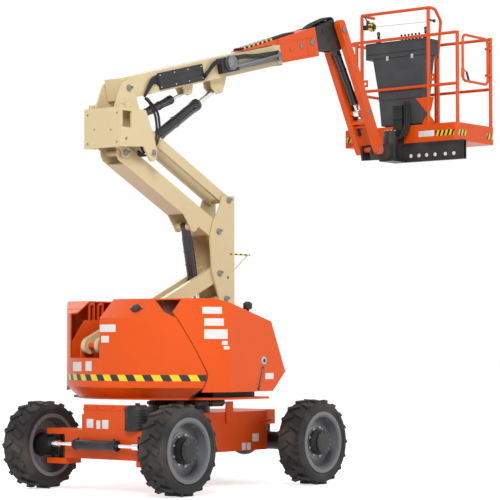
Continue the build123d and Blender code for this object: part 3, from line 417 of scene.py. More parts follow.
# ---- pieces --------------------------------------------------------------------------------------
HAZARD_TAIL = hazard_stripes("hazard_tail", (1, 0, 0), 0.166, (SLEW.x, SLEW.y, 0.0), TAIL_R, -0.55)
HAZARD_KICK_Y = hazard_stripes("hazard_kick_side", (0, 1, 0.35), 0.056)
HAZARD_KICK_X = hazard_stripes("hazard_kick_end", (1, 0, -0.35), 0.062)
HAZARD_BRACKET = hazard_stripes("hazard_bracket", (1, 0, 0), 0.075)
HAZARD_DISC = hazard_stripes("hazard_disc", (0.6, 0, 0.8), 0.048)


def drop_faces(piece, unwanted):
    """Delete the faces for which a test of their centre holds."""
    clear()
    piece.select_set(True)
    bpy.context.view_layer.objects.active = piece
    bpy.ops.object.mode_set(mode="EDIT")
    bpy.ops.mesh.select_all(action="DESELECT")
    bpy.ops.object.mode_set(mode="OBJECT")
    for face in piece.data.polygons:
        face.select = unwanted(face.center)
    bpy.ops.object.mode_set(mode="EDIT")
    bpy.ops.mesh.delete(type="FACE")
    bpy.ops.object.mode_set(mode="OBJECT")


def thickened(piece, depth):
    modifier = piece.modifiers.new("thickness", "SOLIDIFY")
    modifier.thickness = depth
    modifier.offset = 1
    applied(piece, modifier)


def around(centre):
    """Degrees round the slew axis, anticlockwise from the platform."""
    return math.degrees(math.atan2(centre.y - SLEW.y, centre.x - SLEW.x)) % 360


def skin(node, start, way):
    """Where a line from a point first meets a CAD node."""
    thing = bpy.data.objects[node]
    back = thing.matrix_world.inverted()
    found, place, _, _ = thing.ray_cast(back @ start, (back.to_3x3() @ Vector(way)).normalized())
    if not found:
        raise RuntimeError("the line misses " + node)
    return thing.matrix_world @ place


def drum_band(name, low, high, first, last, finish, body):
    """A thin plate bent round the tail, between two heights and two angles."""
    clear()
    bpy.ops.mesh.primitive_cone_add(vertices=360, radius1=TAIL_R + 0.0004, radius2=TAIL_R + 0.0004,
                                    depth=high - low, end_fill_type="NOTHING",
                                    location=(SLEW.x, SLEW.y, (low + high) / 2))
    band = bpy.context.active_object
    band.name = name
    bpy.ops.object.transform_apply(location=True, rotation=True, scale=True)
    drop_faces(band, lambda centre: not first < around(centre) < last)
    thickened(band, 0.0012)
    return settle(band, finish, body)


def tail_seams():
    """Rubber beads in the gap between the tail cover and the near lid."""
    line = ((-0.6605, 0.880), (-0.6375, 0.950), (-0.6125, 1.030), (-0.6125, 1.080), (-0.640, 1.147),
            (-0.668, 1.215), (-0.724, 1.350), (-0.780, 1.485), (-0.808, 1.552))
    points = []
    for x, z in line:
        on_tail = skin("tail_cover", spot(x - 0.008, -1.4, z), ACROSS)
        points.append(Vector((SLEW.x + x, on_tail.y + 0.001, z)))
    beads = [raw_pipe("bead", run, 0.0062, 2) for run in (points[:3], points[2:4], points[3:])]
    settle(joined("tail_seam_bead", beads), SEAL, "turntable")


def flush_plate(name, low, high, finish, body, corner=0.004, studs=True):
    """A thin blank plate with its corners rounded and a rivet near each."""
    low, high = Vector(low), Vector(high)
    pieces = [raw_block(name, low, high, corner * 0.2)]
    size = high - low
    thin = min(range(3), key=lambda k: size[k])
    if studs:
        wide = [k for k in range(3) if k != thin]
        for a in (0.07, 0.93):
            for b in (0.12, 0.88):
                at = low.copy()
                at[wide[0]] += size[wide[0]] * a
                at[wide[1]] += size[wide[1]] * b
                end = at.copy()
                at[thin] = low[thin]
                end[thin] = high[thin]
                away = Vector((0, 0, 0))
                away[thin] = -0.0012
                pieces.append(raw_round("rivet", at + away, end - away, 0.0028, 10))
    return settle(joined(name, pieces), finish, body)


def tail_details():
    """Stripe and blank plates round the tail, and the work lamp in its crown."""
    drum_band("tail_stripe", 1.005, 1.061, 142.0, 234.2, HAZARD_TAIL, "turntable")
    for name, first, last, low, high in (("tail_plate_upper", 177.6, 188.2, 1.445, 1.512),
                                         ("tail_plate_small", 178.8, 184.0, 1.350, 1.410),
                                         ("tail_plate_left", 152.5, 163.5, 1.088, 1.172),
                                         ("tail_plate_square", 166.8, 172.0, 1.092, 1.180)):
        drum_band(name, low, high, first, last, WHITE_PLATE, "turntable")
    at = spot(-0.925, -0.288, 1.650)
    outward = Vector((-0.650, -0.202, 0.732)).normalized()
    pieces = [bar(at, outward, first, last, radius, 32, bevel)
              for first, last, radius, bevel in ((-0.04, 0.012, 0.046, 0.006), (0.006, 0.030, 0.040, 0.008),
                                                 (0.026, 0.034, 0.026, 0.002))]
    side = outward.cross(UP).normalized()
    for sign in (-1, 1):
        pieces.append(bar(at + side * sign * 0.054, outward, -0.03, 0.006, 0.009, 12, 0.002))
    settle(joined("tail_lamp", pieces), BLACK_STEEL, "turntable")


def hood_details():
    """Blank plates, latch, pull handle and alarm of the near lid."""
    y = SLEW.y - SIDE_Y
    # blank plates: on its round part, then on its flat side
    plates = (("hood_plate_top", 232.2, 242.0, 1.607, 1.668), ("hood_plate_middle", 233.4, 242.5, 1.500, 1.566),
              ("hood_plate_low", 233.4, 244.6, 1.382, 1.468), ("hood_plate_small_a", 242.2, 245.3, 1.328, 1.364),
              ("hood_plate_small_b", 242.6, 245.6, 1.288, 1.318))
    for name, first, last, low, high in plates:
        drum_band(name, low, high, first, last, WHITE_PLATE, "hood_near")
    flush_plate("hood_plate_side", (SLEW.x + 0.085, y - 0.0014, 1.015), (SLEW.x + 0.205, y + 0.002, 1.070),
                WHITE_PLATE, "hood_near")
    # round latch with its key cover
    latch = spot(0.060, -0.970, 1.185)
    settle(joined("hood_latch_plate", [bar(latch, -ACROSS, 0, 0.006, 0.036, 32, 0.002)]), PALE_BLUE, "hood_near")
    pieces = [bar(latch, -ACROSS, 0, 0.010, 0.017, 24, 0.002),
              raw_block("latch", latch + Vector((-0.004, -0.013, -0.012)),
                        latch + Vector((0.004, -0.009, 0.012)), 0.001)]
    settle(joined("hood_latch", pieces), BLACK_GLOSS, "hood_near")
    # pull handle, a flat strap on two stand-offs
    top, foot = spot(0.046, -0.970, 1.118), spot(-0.016, -0.970, 0.930)
    out = ACROSS * -0.0045
    pieces = [raw_pipe("handle", [top + out * 0.3, top + out, top.lerp(foot, 0.3) + out,
                                  top.lerp(foot, 0.7) + out, foot + out, foot + out * 0.3], 0.0075)]
    for at in (top, foot):
        pieces.append(bar(at, out, 0, 1.6, 0.015, 20, 0.002))
    settle(joined("hood_handle", pieces), BLACK_GLOSS, "hood_near")
    # alarm on the lid's shoulder
    base = skin("hood_near", spot(-0.120, -0.925, 2.2), -UP) - UP * 0.006
    pieces = [bar(base, UP, 0, 0.044, 0.015, 20, 0.002), bar(base, UP, 0.034, 0.096, 0.042, 32, 0.012),
              bar(base, UP, 0.092, 0.104, 0.026, 32, 0.004)]
    settle(joined("hood_alarm", pieces), BLACK_STEEL, "hood_near")


def swing_drive():
    """Ring gear teeth and swing motors, under the tail."""
    axis = Vector((SLEW.x, SLEW.y, 0))
    pieces = [bar(axis, UP, low, high, radius, 96, 0.003)
              for low, high, radius in ((0.768, 0.800, 0.292), (0.800, 0.831, 0.281))]
    for angle in shares(48):
        centre = axis + Vector((math.cos(angle), math.sin(angle), 0)) * 0.296
        tooth = raw_block("tooth", (-0.008, -0.006, 0.770), (0.008, 0.006, 0.798), 0.0015)
        tooth.data.transform(Matrix.Translation(centre) @ Matrix.Rotation(angle, 4, "Z"))
        pieces.append(tooth)
    settle(joined("slew_ring_gear", pieces), BLACK_STEEL, "turntable")
    for index, (x, y, z, length, radius, lean) in enumerate((
            (-0.17, -0.41, 0.794, 0.19, 0.034, 0.12), (0.055, -0.405, 0.792, 0.15, 0.037, -0.20),
            (-0.42, -0.35, 0.797, 0.16, 0.032, 0.35))):
        along = Vector((math.cos(lean), math.sin(lean), 0))
        at = spot(x, y, z)
        half = length / 2
        motor = [bar(at, along, -half, half, radius, 32, 0.006),
                 bar(at, along, -half - 0.016, half + 0.016, radius * 0.72, 32, 0.004)]
        for end in (-0.3, 0.3):
            motor.append(bar(at + along * length * end, UP, 0, 0.034, 0.010, 16, 0.002))
        settle(joined("swing_motor_%d" % index, motor), BLACK_STEEL, "turntable")


def wheel_details(wheel, side):
    """Drive hub, nuts, dish rings, sidewall rings and valve."""
    body = WHEELS[wheel]
    centre = pivot(body + "_spin")
    middle = (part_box("tyre_" + wheel)[0][1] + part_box("tyre_" + wheel)[1][1]) / 2
    flat = (math.pi / 2, 0, 0)

    def at(radius, angle, out):
        return Vector((centre.x + radius * math.cos(angle), middle + side * out,
                       centre.z + radius * math.sin(angle)))

    hub = [raw_round("hub", at(0, 0, 0.050), at(0, 0, 0.094), 0.1215, 48, 0.006),
           raw_round("hub", at(0, 0, 0.090), at(0, 0, 0.118), 0.1165, 48, 0.006)]
    for angle in shares(12):
        hub.append(raw_round("hub", at(0.0935, angle, 0.136), at(0.0935, angle, 0.1500), 0.0085, 6, 0.0015))
    settle(joined("drive_hub_" + wheel, hub), BLACK_STEEL, body)

    nuts = []
    for angle in shares(9):
        foot = at(0.137, angle, 0.052)
        nuts.append(raw_round("nut", foot, at(0.137, angle, 0.070), 0.0125, 6, 0.002))
        nuts.append(raw_round("nut", foot, at(0.137, angle, 0.078), 0.0065, 12, 0.001))
    nuts.append(bar(at(0.232, 1.1, 0.055), ACROSS * side, 0, 0.045, 0.0045, 12, 0.001))
    settle(joined("wheel_nuts_" + wheel, nuts), ZINC, body)

    rings = [raw_ring(at(0, 0, out), flat, radius, thick, 96, 10)
             for radius, out, thick in ((0.272, 0.128, 0.0060), (0.248, 0.122, 0.0050), (0.226, 0.030, 0.0040),
                                        (0.170, 0.052, 0.0035))]
    settle(joined("rim_rings_" + wheel, rings), RIM, body)

    walls = []
    for face in (-1, 1):
        for radius, out, thick in ((0.302, 0.1215, 0.0045), (0.330, 0.1300, 0.0035), (0.352, 0.1255, 0.0040)):
            walls.append(raw_ring(at(0, 0, face * out), flat, radius, thick, 108))
        for angle in shares(36, 0.5):
            walls.append(raw_round("rib", at(0.356, angle, face * 0.122), at(0.376, angle, face * 0.1185),
                                   0.0048, 8))
    settle(joined("sidewall_rings_" + wheel, walls), RUBBER, body)


def canister():
    """Ribbed accumulator over the front axle, in its straps."""
    low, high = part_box("front_canister")
    foot = Vector(((low[0] + high[0]) / 2, (low[1] + high[1]) / 2, low[2]))
    turned = [(0, 0.212, 0.112, 56, 0.006), (0.02, 0.034, 0.118, 56, 0.006), (0.178, 0.192, 0.118, 56, 0.006),
              (0.205, 0.222, 0.090, 48, 0.006), (0.215, 0.246, 0.022, 24, 0.003)]
    for step in range(5):
        rib = 0.052 + 0.026 * step
        turned.append((rib, rib + 0.009, 0.1155, 56, 0.003))
    whole = settle(joined("accumulator", [bar(foot, UP, *row) for row in turned]), BLACK_STEEL, "chassis")
    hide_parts("front_canister")


def front_details():
    """Blank plates on the front box and the frame's side, and the box's bolted band."""
    box_low, box_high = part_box("front_box")
    x = box_low[0]
    for index, (y0, y1, z0, z1) in enumerate(((0.090, 0.172, 0.580, 0.660), (0.004, 0.052, 0.572, 0.648),
                                              (-0.095, -0.018, 0.575, 0.655))):
        flush_plate("front_plate_%d" % index, (x - 0.0012, SLEW.y + y0, z0), (x + 0.001, SLEW.y + y1, z1),
                    WHITE_PLATE, "chassis")
    for index, (x0, x1, z0, z1) in enumerate(((0.395, 0.455, 0.338, 0.404), (0.470, 0.528, 0.338, 0.404),
                                              (0.555, 0.650, 0.412, 0.486))):
        y = SLEW.y - 0.440
        flush_plate("frame_plate_%d" % index, (SLEW.x + x0, y - 0.0012, z0), (SLEW.x + x1, y + 0.001, z1),
                    WHITE_PLATE, "chassis")
    # bolted band along the box's upper edge
    pieces = [raw_block("band", (box_low[0] - 0.006, box_low[1] - 0.004, 0.742),
                        (box_low[0] + 0.006, box_high[1] + 0.004, 0.756), 0.002)]
    for y in (box_low[1] + 0.03, box_low[1] + 0.17, box_high[1] - 0.17, box_high[1] - 0.03):
        pieces.append(raw_round("band", (x - 0.012, y, 0.770), (x + 0.004, y, 0.770), 0.009, 6, 0.0015))
    settle(joined("front_box_band", pieces), ORANGE_STEEL, "chassis")


def steering_details():
    """Glands and ports of the steering cylinder."""
    low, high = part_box("steer_barrel")
    pieces = []
    for end, inward in ((low[1], ACROSS), (high[1], -ACROSS)):
        at = Vector((low[0] + 0.045, end, (low[2] + high[2]) / 2))
        pieces.append(bar(at, inward, 0.0005, 0.022, 0.050, 32, 0.003))
        pieces.append(bar(at + inward * 0.040, UP, 0.02, 0.062, 0.012, 6, 0.001))
    settle(joined("steering_glands", pieces), BLACK_STEEL, "chassis")


def heads(places, rows):
    """Turned heads and nuts on either side of a member: first, last, radius, sides, bevel of each."""
    return [bar(place + ACROSS * side * reach, ACROSS * side, *row)
            for place, reach in places for side in (-1, 1) for row in rows]


def pin_end(place, side, radius, reach, plate):
    """Pin head past a plate's face, with a keeper bolted to the plate beside it."""
    at = Vector((place.x, BOOM_Y + side * reach, place.z))
    out = ACROSS * side
    keeper = Vector((place.x + radius * 1.45, BOOM_Y + side * plate, place.z + radius * 0.4))
    near, far = sorted((keeper.y - side * 0.001, keeper.y + side * 0.007))
    return [bar(at, out, -0.004, 0.007, radius, 32, 0.003), bar(at, out, 0.004, 0.010, radius * 0.55, 32, 0.002),
            raw_block("pin", (keeper.x - 0.024, near, keeper.z - 0.011), (keeper.x + 0.017, far, keeper.z + 0.011),
                      0.002),
            bar(keeper, out, 0, 0.012, 0.0075, 6, 0.001)]


def tower_pins():
    """Heads of the tower's pins and of the lift cylinder's foot pin."""
    low_end, top_end = pivot("lower_upright_pivot"), pivot("upper_upright_pivot")
    lower = [pivot("mid_arm_pivot"), pivot("mid_link_pivot"), low_end, low_end + Vector((0.100, 0, -0.250))]
    upper = [pivot("boom_raise"), top_end, top_end + Vector((0.155, 0, 0.315))]
    for name, places, body in (("lower_pin_heads", lower, "lower_upright"),
                               ("upper_pin_heads", upper, "upper_upright")):
        pieces = []
        for place in places:
            for side in (-1, 1):
                pieces += pin_end(place, side, 0.030, 0.1365, 0.130)
        settle(joined(name, pieces), GREY_METAL, body)
    lift = heads([(pivot("lift_cylinder_barrel_pivot"), 0.240)],
                 ((0, 0.008, 0.030, 32, 0.002), (0, 0.012, 0.016, 6, 0.002)))
    settle(joined("lift_pin_heads", lift), GREY_METAL, "upper_upright")


def striped_bracket():
    """Flag bar on a stay, on the lower upright's rear edge."""
    y = BOOM_Y - 0.118
    base = spot(0.965, 0, 2.224)
    tip = spot(1.275, 0, 2.230)
    flag = raw_block("flag", (base.x - 0.012, y - 0.014, 2.218), (tip.x, y + 0.014, 2.232), 0.002)
    settle(joined("flag_bar", [flag]), HAZARD_BRACKET, "lower_upright")
    root = Vector((base.x - 0.035, y, 1.990))
    stay = raw_pipe("stay", [(tip.x - 0.03, y, 2.218), (base.x + 0.02, y, 2.035), root], 0.007, 2)
    foot = bar(root, ACROSS, -0.012, 0.012, 0.018, 24, 0.003)
    plate = raw_block("stay", (base.x - 0.05, y - 0.010, 2.190), (base.x + 0.005, y + 0.010, 2.245), 0.003)
    settle(joined("flag_stay", [stay, foot, plate]), CREAM, "lower_upright")


def carrier_fittings():
    """Bolts on the carrier's end, and the sensor and stubs on its shelf."""
    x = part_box("upper_upright")[0][0]
    pieces = []
    for y, z in ((-0.11, 3.315), (0.10, 3.330), (-0.185, 3.20), (0.185, 3.20), (-0.185, 3.47), (0.185, 3.47)):
        pieces.append(raw_round("bolt", (x - 0.006, BOOM_Y + y, z), (x + 0.006, BOOM_Y + y, z), 0.009, 6, 0.0015))
    settle(joined("carrier_bolts", pieces), GREY_METAL, "upper_upright")
    foot = pivot("upper_upright_pivot")
    shelf = foot.z + 0.405
    pieces = []
    for dx, dy, w, d, h in ((-0.13, 0.170, 0.055, 0.05, 0.045), (-0.055, 0.165, 0.04, 0.045, 0.070),
                            (-0.11, -0.165, 0.075, 0.06, 0.03), (-0.02, -0.170, 0.05, 0.045, 0.055)):
        pieces.append(raw_block("stub", (foot.x + dx - w / 2, BOOM_Y + dy - d / 2, shelf - 0.002),
                                (foot.x + dx + w / 2, BOOM_Y + dy + d / 2, shelf + h), 0.006))
    settle(joined("carrier_shelf_blocks", pieces), CREAM, "upper_upright")


# distance from the foot pin to the barrel's start and mouth, its radius, and whether a pipe is clipped to it
CYLINDER_PORTS = {"tower_cylinder": (0.048, 0.573, 0.051, False), "lift_cylinder": (0.052, 1.059, 0.057, True),
                  "level_cylinder": (0.046, 0.543, 0.041, False), "jib_cylinder": (0.046, 0.681, 0.041, False)}


def carrier_hoses():
    """Bundle that loops from the boom's root past the carrier's front edge to the lift cylinder's foot."""
    pieces = []
    for index in range(4):
        y, out = 0.128 + 0.010 * (index % 2), 0.022 * index
        pieces += hose([spot(-0.335 + out * 0.4, y, 3.640), spot(-0.235 + out, y, 3.560 + out * 0.3),
                        spot(-0.185 + out, y, 3.420), spot(-0.190 + out * 0.8, y, 3.270),
                        spot(-0.250 + out * 0.5, y, 3.150), spot(-0.345 + out * 0.2, y, 3.090),
                        spot(-0.42, y, 3.100 + out * 0.5)], 0.0085)
    settle(joined("carrier_hoses", pieces), HOSE, "upper_upright")


def cylinder_details(name, ports):
    """Gland, end cap, ports and clipped pipe along a cylinder's barrel."""
    body = name + "_barrel"
    foot = pivot(body + "_pivot")
    axis = Vector(JOINTS[name + "_rod_slide"]["axis"]).normalized()
    start, mouth, radius, piped = ports
    side = -ACROSS
    up = axis.cross(ACROSS).normalized()
    if up.z < 0:
        up = -up
    pieces = [bar(foot, axis, mouth - 0.035, mouth + 0.004, radius + 0.0045, 40, 0.003),
              bar(foot, axis, mouth - 0.075, mouth - 0.055, radius + 0.003, 40, 0.003)]
    for angle in shares(6):
        offset = (up * math.cos(angle) + side * math.sin(angle)) * (radius - 0.008)
        pieces.append(bar(foot + offset, axis, mouth, mouth + 0.010, 0.006, 6, 0.001))
    a, b = (foot + axis * (start + (mouth - start) * share) for share in (0.08, 0.90))
    if piped:
        for at in (a, b):
            pieces.append(bar(at, side, radius - 0.004, radius + 0.026, 0.011, 6, 0.0015))
        route = [b + side * (radius + 0.024), b + side * (radius + 0.030) - axis * 0.03,
                 b + side * (radius + 0.013) - axis * 0.09, a.lerp(b, 0.5) + side * (radius + 0.012),
                 a + side * (radius + 0.012) + axis * 0.09, a + side * (radius + 0.028) + axis * 0.03,
                 a + side * (radius + 0.022)]
        pieces.append(raw_pipe("barrel", route, 0.0065))
    for share in (0.35, 0.65):
        pieces.append(bar(a.lerp(b, share), axis, -0.009, 0.009, radius + 0.0035, 40, 0.001))
    settle(joined(name + "_fittings", pieces), BLACK_GLOSS, body)


def hose(points, radius):
    """Hose clipped along one member, with a crimped fitting at either end."""
    pieces = [raw_pipe("hose", points, radius)]
    for a, b in ((points[0], points[1]), (points[-1], points[-2])):
        along = (b - a).normalized()
        pieces.append(bar(a, along, -0.004, 0.034, radius * 1.35, 16, 0.001))
        pieces.append(bar(a, along, -0.010, 0.008, radius * 1.6, 6, 0.001))
    return pieces


def hose_on(member, rows, radius):
    """Hose through places given along, across and above a member."""
    return hose([member.at(*row) for row in rows], radius)


def member_block(name, member, low, high, bevel=0.002):
    """A block between two corners given along, across and above a member."""
    piece = raw_block(name, low, high, bevel)
    across = member.up.cross(member.axis)
    turn = Matrix((member.axis, across, member.up)).transposed().to_4x4()
    piece.data.transform(Matrix.Translation(member.start) @ turn)
    return piece


def mid_arm_hoses():
    """Hoses that lie in the arm's open channel and loop over its lower end."""
    pieces = []
    for index in range(4):
        y = -0.045 + 0.03 * index
        rise = 0.056 + 0.008 * (index % 2)
        pieces += hose_on(MID_ARM, ((0.80, y, -0.050), (0.76, y, 0.020), (0.68, y, rise - 0.012),
                                    (0.58, y * 0.9, rise - 0.004), (0.47, y, rise), (0.35, y * 1.05, rise + 0.018),
                                    (0.24, y * 0.9, rise), (0.15, y, -0.010)), 0.0095)
    settle(joined("mid_arm_hoses", pieces), HOSE, "mid_arm")
    clips = [member_block("clip", MID_ARM, (along - 0.011, -0.0945, 0.040), (along + 0.011, 0.0945, 0.050))
             for along in (0.42, 0.62)]
    settle(joined("mid_arm_hose_clips", clips), BLACK_STEEL, "mid_arm")


def boom_details():
    """Side panel, hose reel and rail, hoses, mouth collar and wear pad bolts of the main boom."""
    half = 0.105
    near = -half - 0.012
    # framed side panel: border strips, two pressed ribs and bolts
    strips = ((0.458, 1.132, 0.066, 0.076, 0.003), (0.458, 1.132, -0.086, -0.076, 0.003),
              (0.458, 0.468, -0.086, 0.076, 0.003), (1.122, 1.132, -0.086, 0.076, 0.003),
              (0.50, 1.09, 0.018, 0.026, 0.002), (0.50, 1.09, -0.036, -0.028, 0.002))
    pieces = [member_block("panel", BOOM, (x0, near - depth, z0), (x1, near, z1), 0.001)
              for x0, x1, z0, z1, depth in strips]
    settle(joined("side_panel_frame", pieces), BLACK_STEEL, "main_boom")
    pieces = [bar(BOOM.at(along, near, above), -ACROSS, 0, 0.006, 0.0075, 6, 0.001)
              for along in (0.482, 0.70, 0.90, 1.108) for above in (0.052, -0.062)]
    settle(joined("side_panel_bolts", pieces), ZINC, "main_boom")

    # hose carrier: reel, guide rail and clamps
    reel = BOOM.at(1.505, -0.170, 0.030)
    pieces = [bar(reel, -ACROSS, inner - 0.005, outer - 0.005, radius, 40, 0.003)
              for inner, outer, radius in ((-0.004, 0.008, 0.074), (0.006, 0.034, 0.050), (0.032, 0.042, 0.072))]
    for angle in shares(6):
        at = reel + (BOOM.axis * math.cos(angle) + BOOM.up * math.sin(angle)) * 0.050
        pieces.append(bar(at, -ACROSS, 0.036, 0.042, 0.009, 12, 0.001))
    settle(joined("hose_reel", pieces), GREY_METAL, "main_boom")
    pieces = [member_block("rail", BOOM, (x0, y0 - half, z0), (x1, y1 - half, z1), bevel)
              for x0, x1, y0, y1, z0, z1, bevel in ((1.62, 2.30, -0.046, -0.040, -0.048, 0.018, 0.002),
                                                    (1.60, 2.33, -0.058, -0.040, 0.012, 0.022, 0.002),
                                                    (1.60, 2.33, -0.058, -0.040, -0.056, -0.046, 0.002),
                                                    (2.30, 2.345, -0.064, -0.002, -0.062, 0.034, 0.004))]
    pieces.append(raw_round("rail", BOOM.at(1.60, -half - 0.056, -0.016), BOOM.at(2.34, -half - 0.056, 0.000),
                            0.016, 24, 0.003))
    settle(joined("hose_rail", pieces), GREY_METAL, "main_boom")
    pieces = []
    for index in range(4):
        s = 0.011 * index
        pieces += hose_on(BOOM, ((1.44, -0.150 - s * 0.3, 0.010 + s), (1.33, -0.160, 0.060 + s),
                                 (1.25, -0.140, 0.020 + s), (1.19, -0.128 - s * 0.2, -0.030 + s),
                                 (1.140, -0.124 - s * 0.2, -0.060 + s)), 0.0075)
    for index in range(3):
        s = 0.016 * index
        pieces += hose_on(BOOM, ((1.55, -0.178, 0.075 - s), (1.68, -0.182, 0.090 - s), (1.86, -0.172, 0.060 - s),
                                 (2.05, -0.168, 0.050 - s), (2.22, -0.164, 0.046 - s), (2.31, -0.158, 0.040 - s)),
                          0.0075)
    settle(joined("boom_hoses", pieces), HOSE, "main_boom")

    # hoses that leave the panel and turn down beside the level cylinder
    pieces = []
    for index in range(5):
        s = 0.013 * index
        pieces += hose_on(BOOM, ((0.455, -0.113, 0.050 - s * 1.6), (0.40, -0.122, 0.052 - s),
                                 (0.33, -0.128, 0.030 - s), (0.27 - s * 0.3, -0.128, -0.030 - s),
                                 (0.235 - s * 0.3, -0.122, -0.085 - s * 0.4)), 0.0085)
    settle(joined("boom_root_hoses", pieces), HOSE, "main_boom")

    # weld collar at the mouth, wear pad bolts
    outer = half + 0.006
    pieces = [member_block("collar", BOOM, (2.335, y0, z0), (2.418, y1, z1), 0.003)
              for y0, y1, z0, z1 in ((-outer, outer, -0.109, -0.098), (-outer, outer, 0.098, 0.109),
                                     (-outer, -half + 0.001, -0.109, 0.109), (half - 0.001, outer, -0.109, 0.109))]
    settle(joined("boom_mouth_collar", pieces), CREAM, "main_boom")
    pieces = []
    for along in (2.355, 2.395):
        pieces += heads([(BOOM.at(along, 0, above), half + 0.005) for above in (-0.07, 0.0, 0.07)],
                        ((0, 0.008, 0.008, 6, 0.001),))
        for across in (-0.06, 0.06):
            pieces.append(bar(BOOM.at(along, across, 0.108), BOOM.up, 0, 0.010, 0.008, 6, 0.001))
    settle(joined("wear_pad_bolts", pieces), ZINC, "main_boom")


def tray_top(along):
    """Height of the fly's tray, and of the nose's roof past it."""
    return 0.119 + (along - 1.85) * (0.158 - 0.119) / 0.58


def fly_details():
    """Hose clamps and hoses on the fly's tray, ribs and pins on its nose."""
    pieces = []
    for step in range(7):
        along = 1.90 + 0.075 * step
        above = tray_top(along)
        pieces.append(member_block("clamp", BOOM, (along, -0.060, above - 0.004),
                                   (along + 0.022, 0.060, above + 0.024), 0.003))
    settle(joined("fly_hose_clamps", pieces), CREAM, "fly_boom")
    pieces = []
    for index in range(4):
        y = -0.042 + 0.028 * index
        rows = [(along, y, tray_top(along) + 0.011) for along in (1.87, 2.10, 2.35, 2.55, 2.70)]
        rows += [(2.76, y, tray_top(2.76) + 0.006), (2.785, y, tray_top(2.785) - 0.012)]
        pieces += hose_on(BOOM, rows, 0.009)
    settle(joined("fly_hoses", pieces), HOSE, "fly_boom")
    pieces = heads([(BOOM.at(2.62, 0, 0.030), 0.094)], ((0, 0.010, 0.026, 28, 0.003),))
    for side in (-1, 1):
        inner, outer = sorted((side * 0.095, side * 0.100))
        for x0, x1, z0, z1 in ((2.46, 3.05, 0.100, 0.112), (2.46, 3.02, -0.078, -0.066),
                               (2.90, 2.912, -0.078, 0.112)):
            pieces.append(member_block("rib", BOOM, (x0, inner, z0), (x1, outer, z1), 0.002))
    settle(joined("fly_nose_ribs", pieces), ORANGE, "fly_boom")
    head = pivot("jib_head_level")
    pieces = heads([(BOOM.at(2.62, 0, 0.030), 0.103)], ((0, 0.006, 0.013, 20, 0.002),))
    pieces += heads([(head, 0.096)], ((0, 0.006, 0.034, 28, 0.002),))
    for turn in (0.6, 2.2, 3.8, 5.4):
        bolt = head + Vector((0.045 * math.cos(turn), 0, 0.045 * math.sin(turn)))
        pieces += heads([(bolt, 0.096)], ((-0.004, 0.005, 0.006, 6, 0.001),))
    for side in (-1, 1):
        # hose clamp on either side of the nose
        pieces.append(member_block("clamp", BOOM, (2.78, side * 0.099 - 0.004, 0.010),
                                   (2.83, side * 0.099 + 0.004, 0.060), 0.002))
    settle(joined("fly_nose_pins", pieces), GREY_METAL, "fly_boom")


def jib_head_details():
    """Black hose bundle, bolts and stops on the jib's head."""
    nose = pivot("jib_head_level")
    pieces = []
    for index in range(5):
        y = -0.036 + 0.018 * index
        drop = 0.006 * (index % 2)
        pieces += hose([nose + Vector((x, y * inward, z - drop)) for x, inward, z in
                        ((0.010, 1, 0.148), (0.060, 1, 0.192), (0.190, 1, 0.248), (0.320, 1, 0.300),
                         (0.410, 1, 0.322), (0.455, 0.95, 0.300), (0.462, 0.9, 0.235))], 0.0105)
    settle(joined("jib_head_hoses", pieces), HOSE, "jib_head")
    pieces = [raw_block("bridge", nose + Vector((x0, -0.072, z0)), nose + Vector((x1, 0.072, z1)), 0.003)
              for x0, x1, z0, z1 in ((0.170, 0.200, 0.204, 0.224), (0.375, 0.405, 0.270, 0.292))]
    for dx, dz, radius in ((0.085, 0.020, 0.024), (0.235, 0.150, 0.028), (0.330, 0.075, 0.024),
                           (0.395, -0.020, 0.020)):
        pieces += heads([(nose + Vector((dx, 0, dz)), 0.072)],
                        ((0, 0.006, radius, 28, 0.002), (0, 0.0095, radius * 0.5, 6, 0.001)))
    settle(joined("jib_head_fittings", pieces), BLACK_STEEL, "jib_head")
    pieces = heads([(pivot("jib_raise"), 0.160)], ((0, 0.007, 0.036, 32, 0.002), (0, 0.012, 0.016, 6, 0.002)))
    settle(joined("jib_pin_heads", pieces), GREY_METAL, "jib_head")


def jib_details():
    """Hoses inside the arms' faces, their clips, and the pins' caps."""
    pieces = []
    for side in (-1, 1):
        for index in range(2):
            above = 0.006 + 0.024 * index
            pieces += hose_on(JIB, [(along, side * (0.0645 + wave * 0.003), above + rise) for along, wave, rise in
                                    ((0.275, 0, -0.01), (0.36, 1, 0.004), (0.55, 0, 0.008), (0.78, 1, 0.0),
                                     (1.00, 0, 0.006), (1.12, 1, 0.002), (1.22, 0, -0.010))], 0.0085)
    settle(joined("jib_hoses", pieces), HOSE, "jib_arm")
    pieces = []
    for along in (0.33, 0.62, 0.88, 1.16):
        for side in (-1, 1):
            near, far = sorted((side * 0.052, side * 0.0855))
            pieces.append(member_block("clip", JIB, (along - 0.010, near, 0.041), (along + 0.010, far, 0.047),
                                       0.001))
    settle(joined("jib_hose_clips", pieces), BLACK_STEEL, "jib_arm")
    pieces = []
    for along, radius in ((1.400, 0.036), (0.960, 0.030), (1.060, 0.014)):
        pieces += heads([(JIB.at(along), 0.154)],
                        ((0, 0.007, radius, 28, 0.002), (0, 0.0115, radius * 0.4, 6, 0.001)))
    settle(joined("jib_pin_caps", pieces), GREY_METAL, "jib_arm")


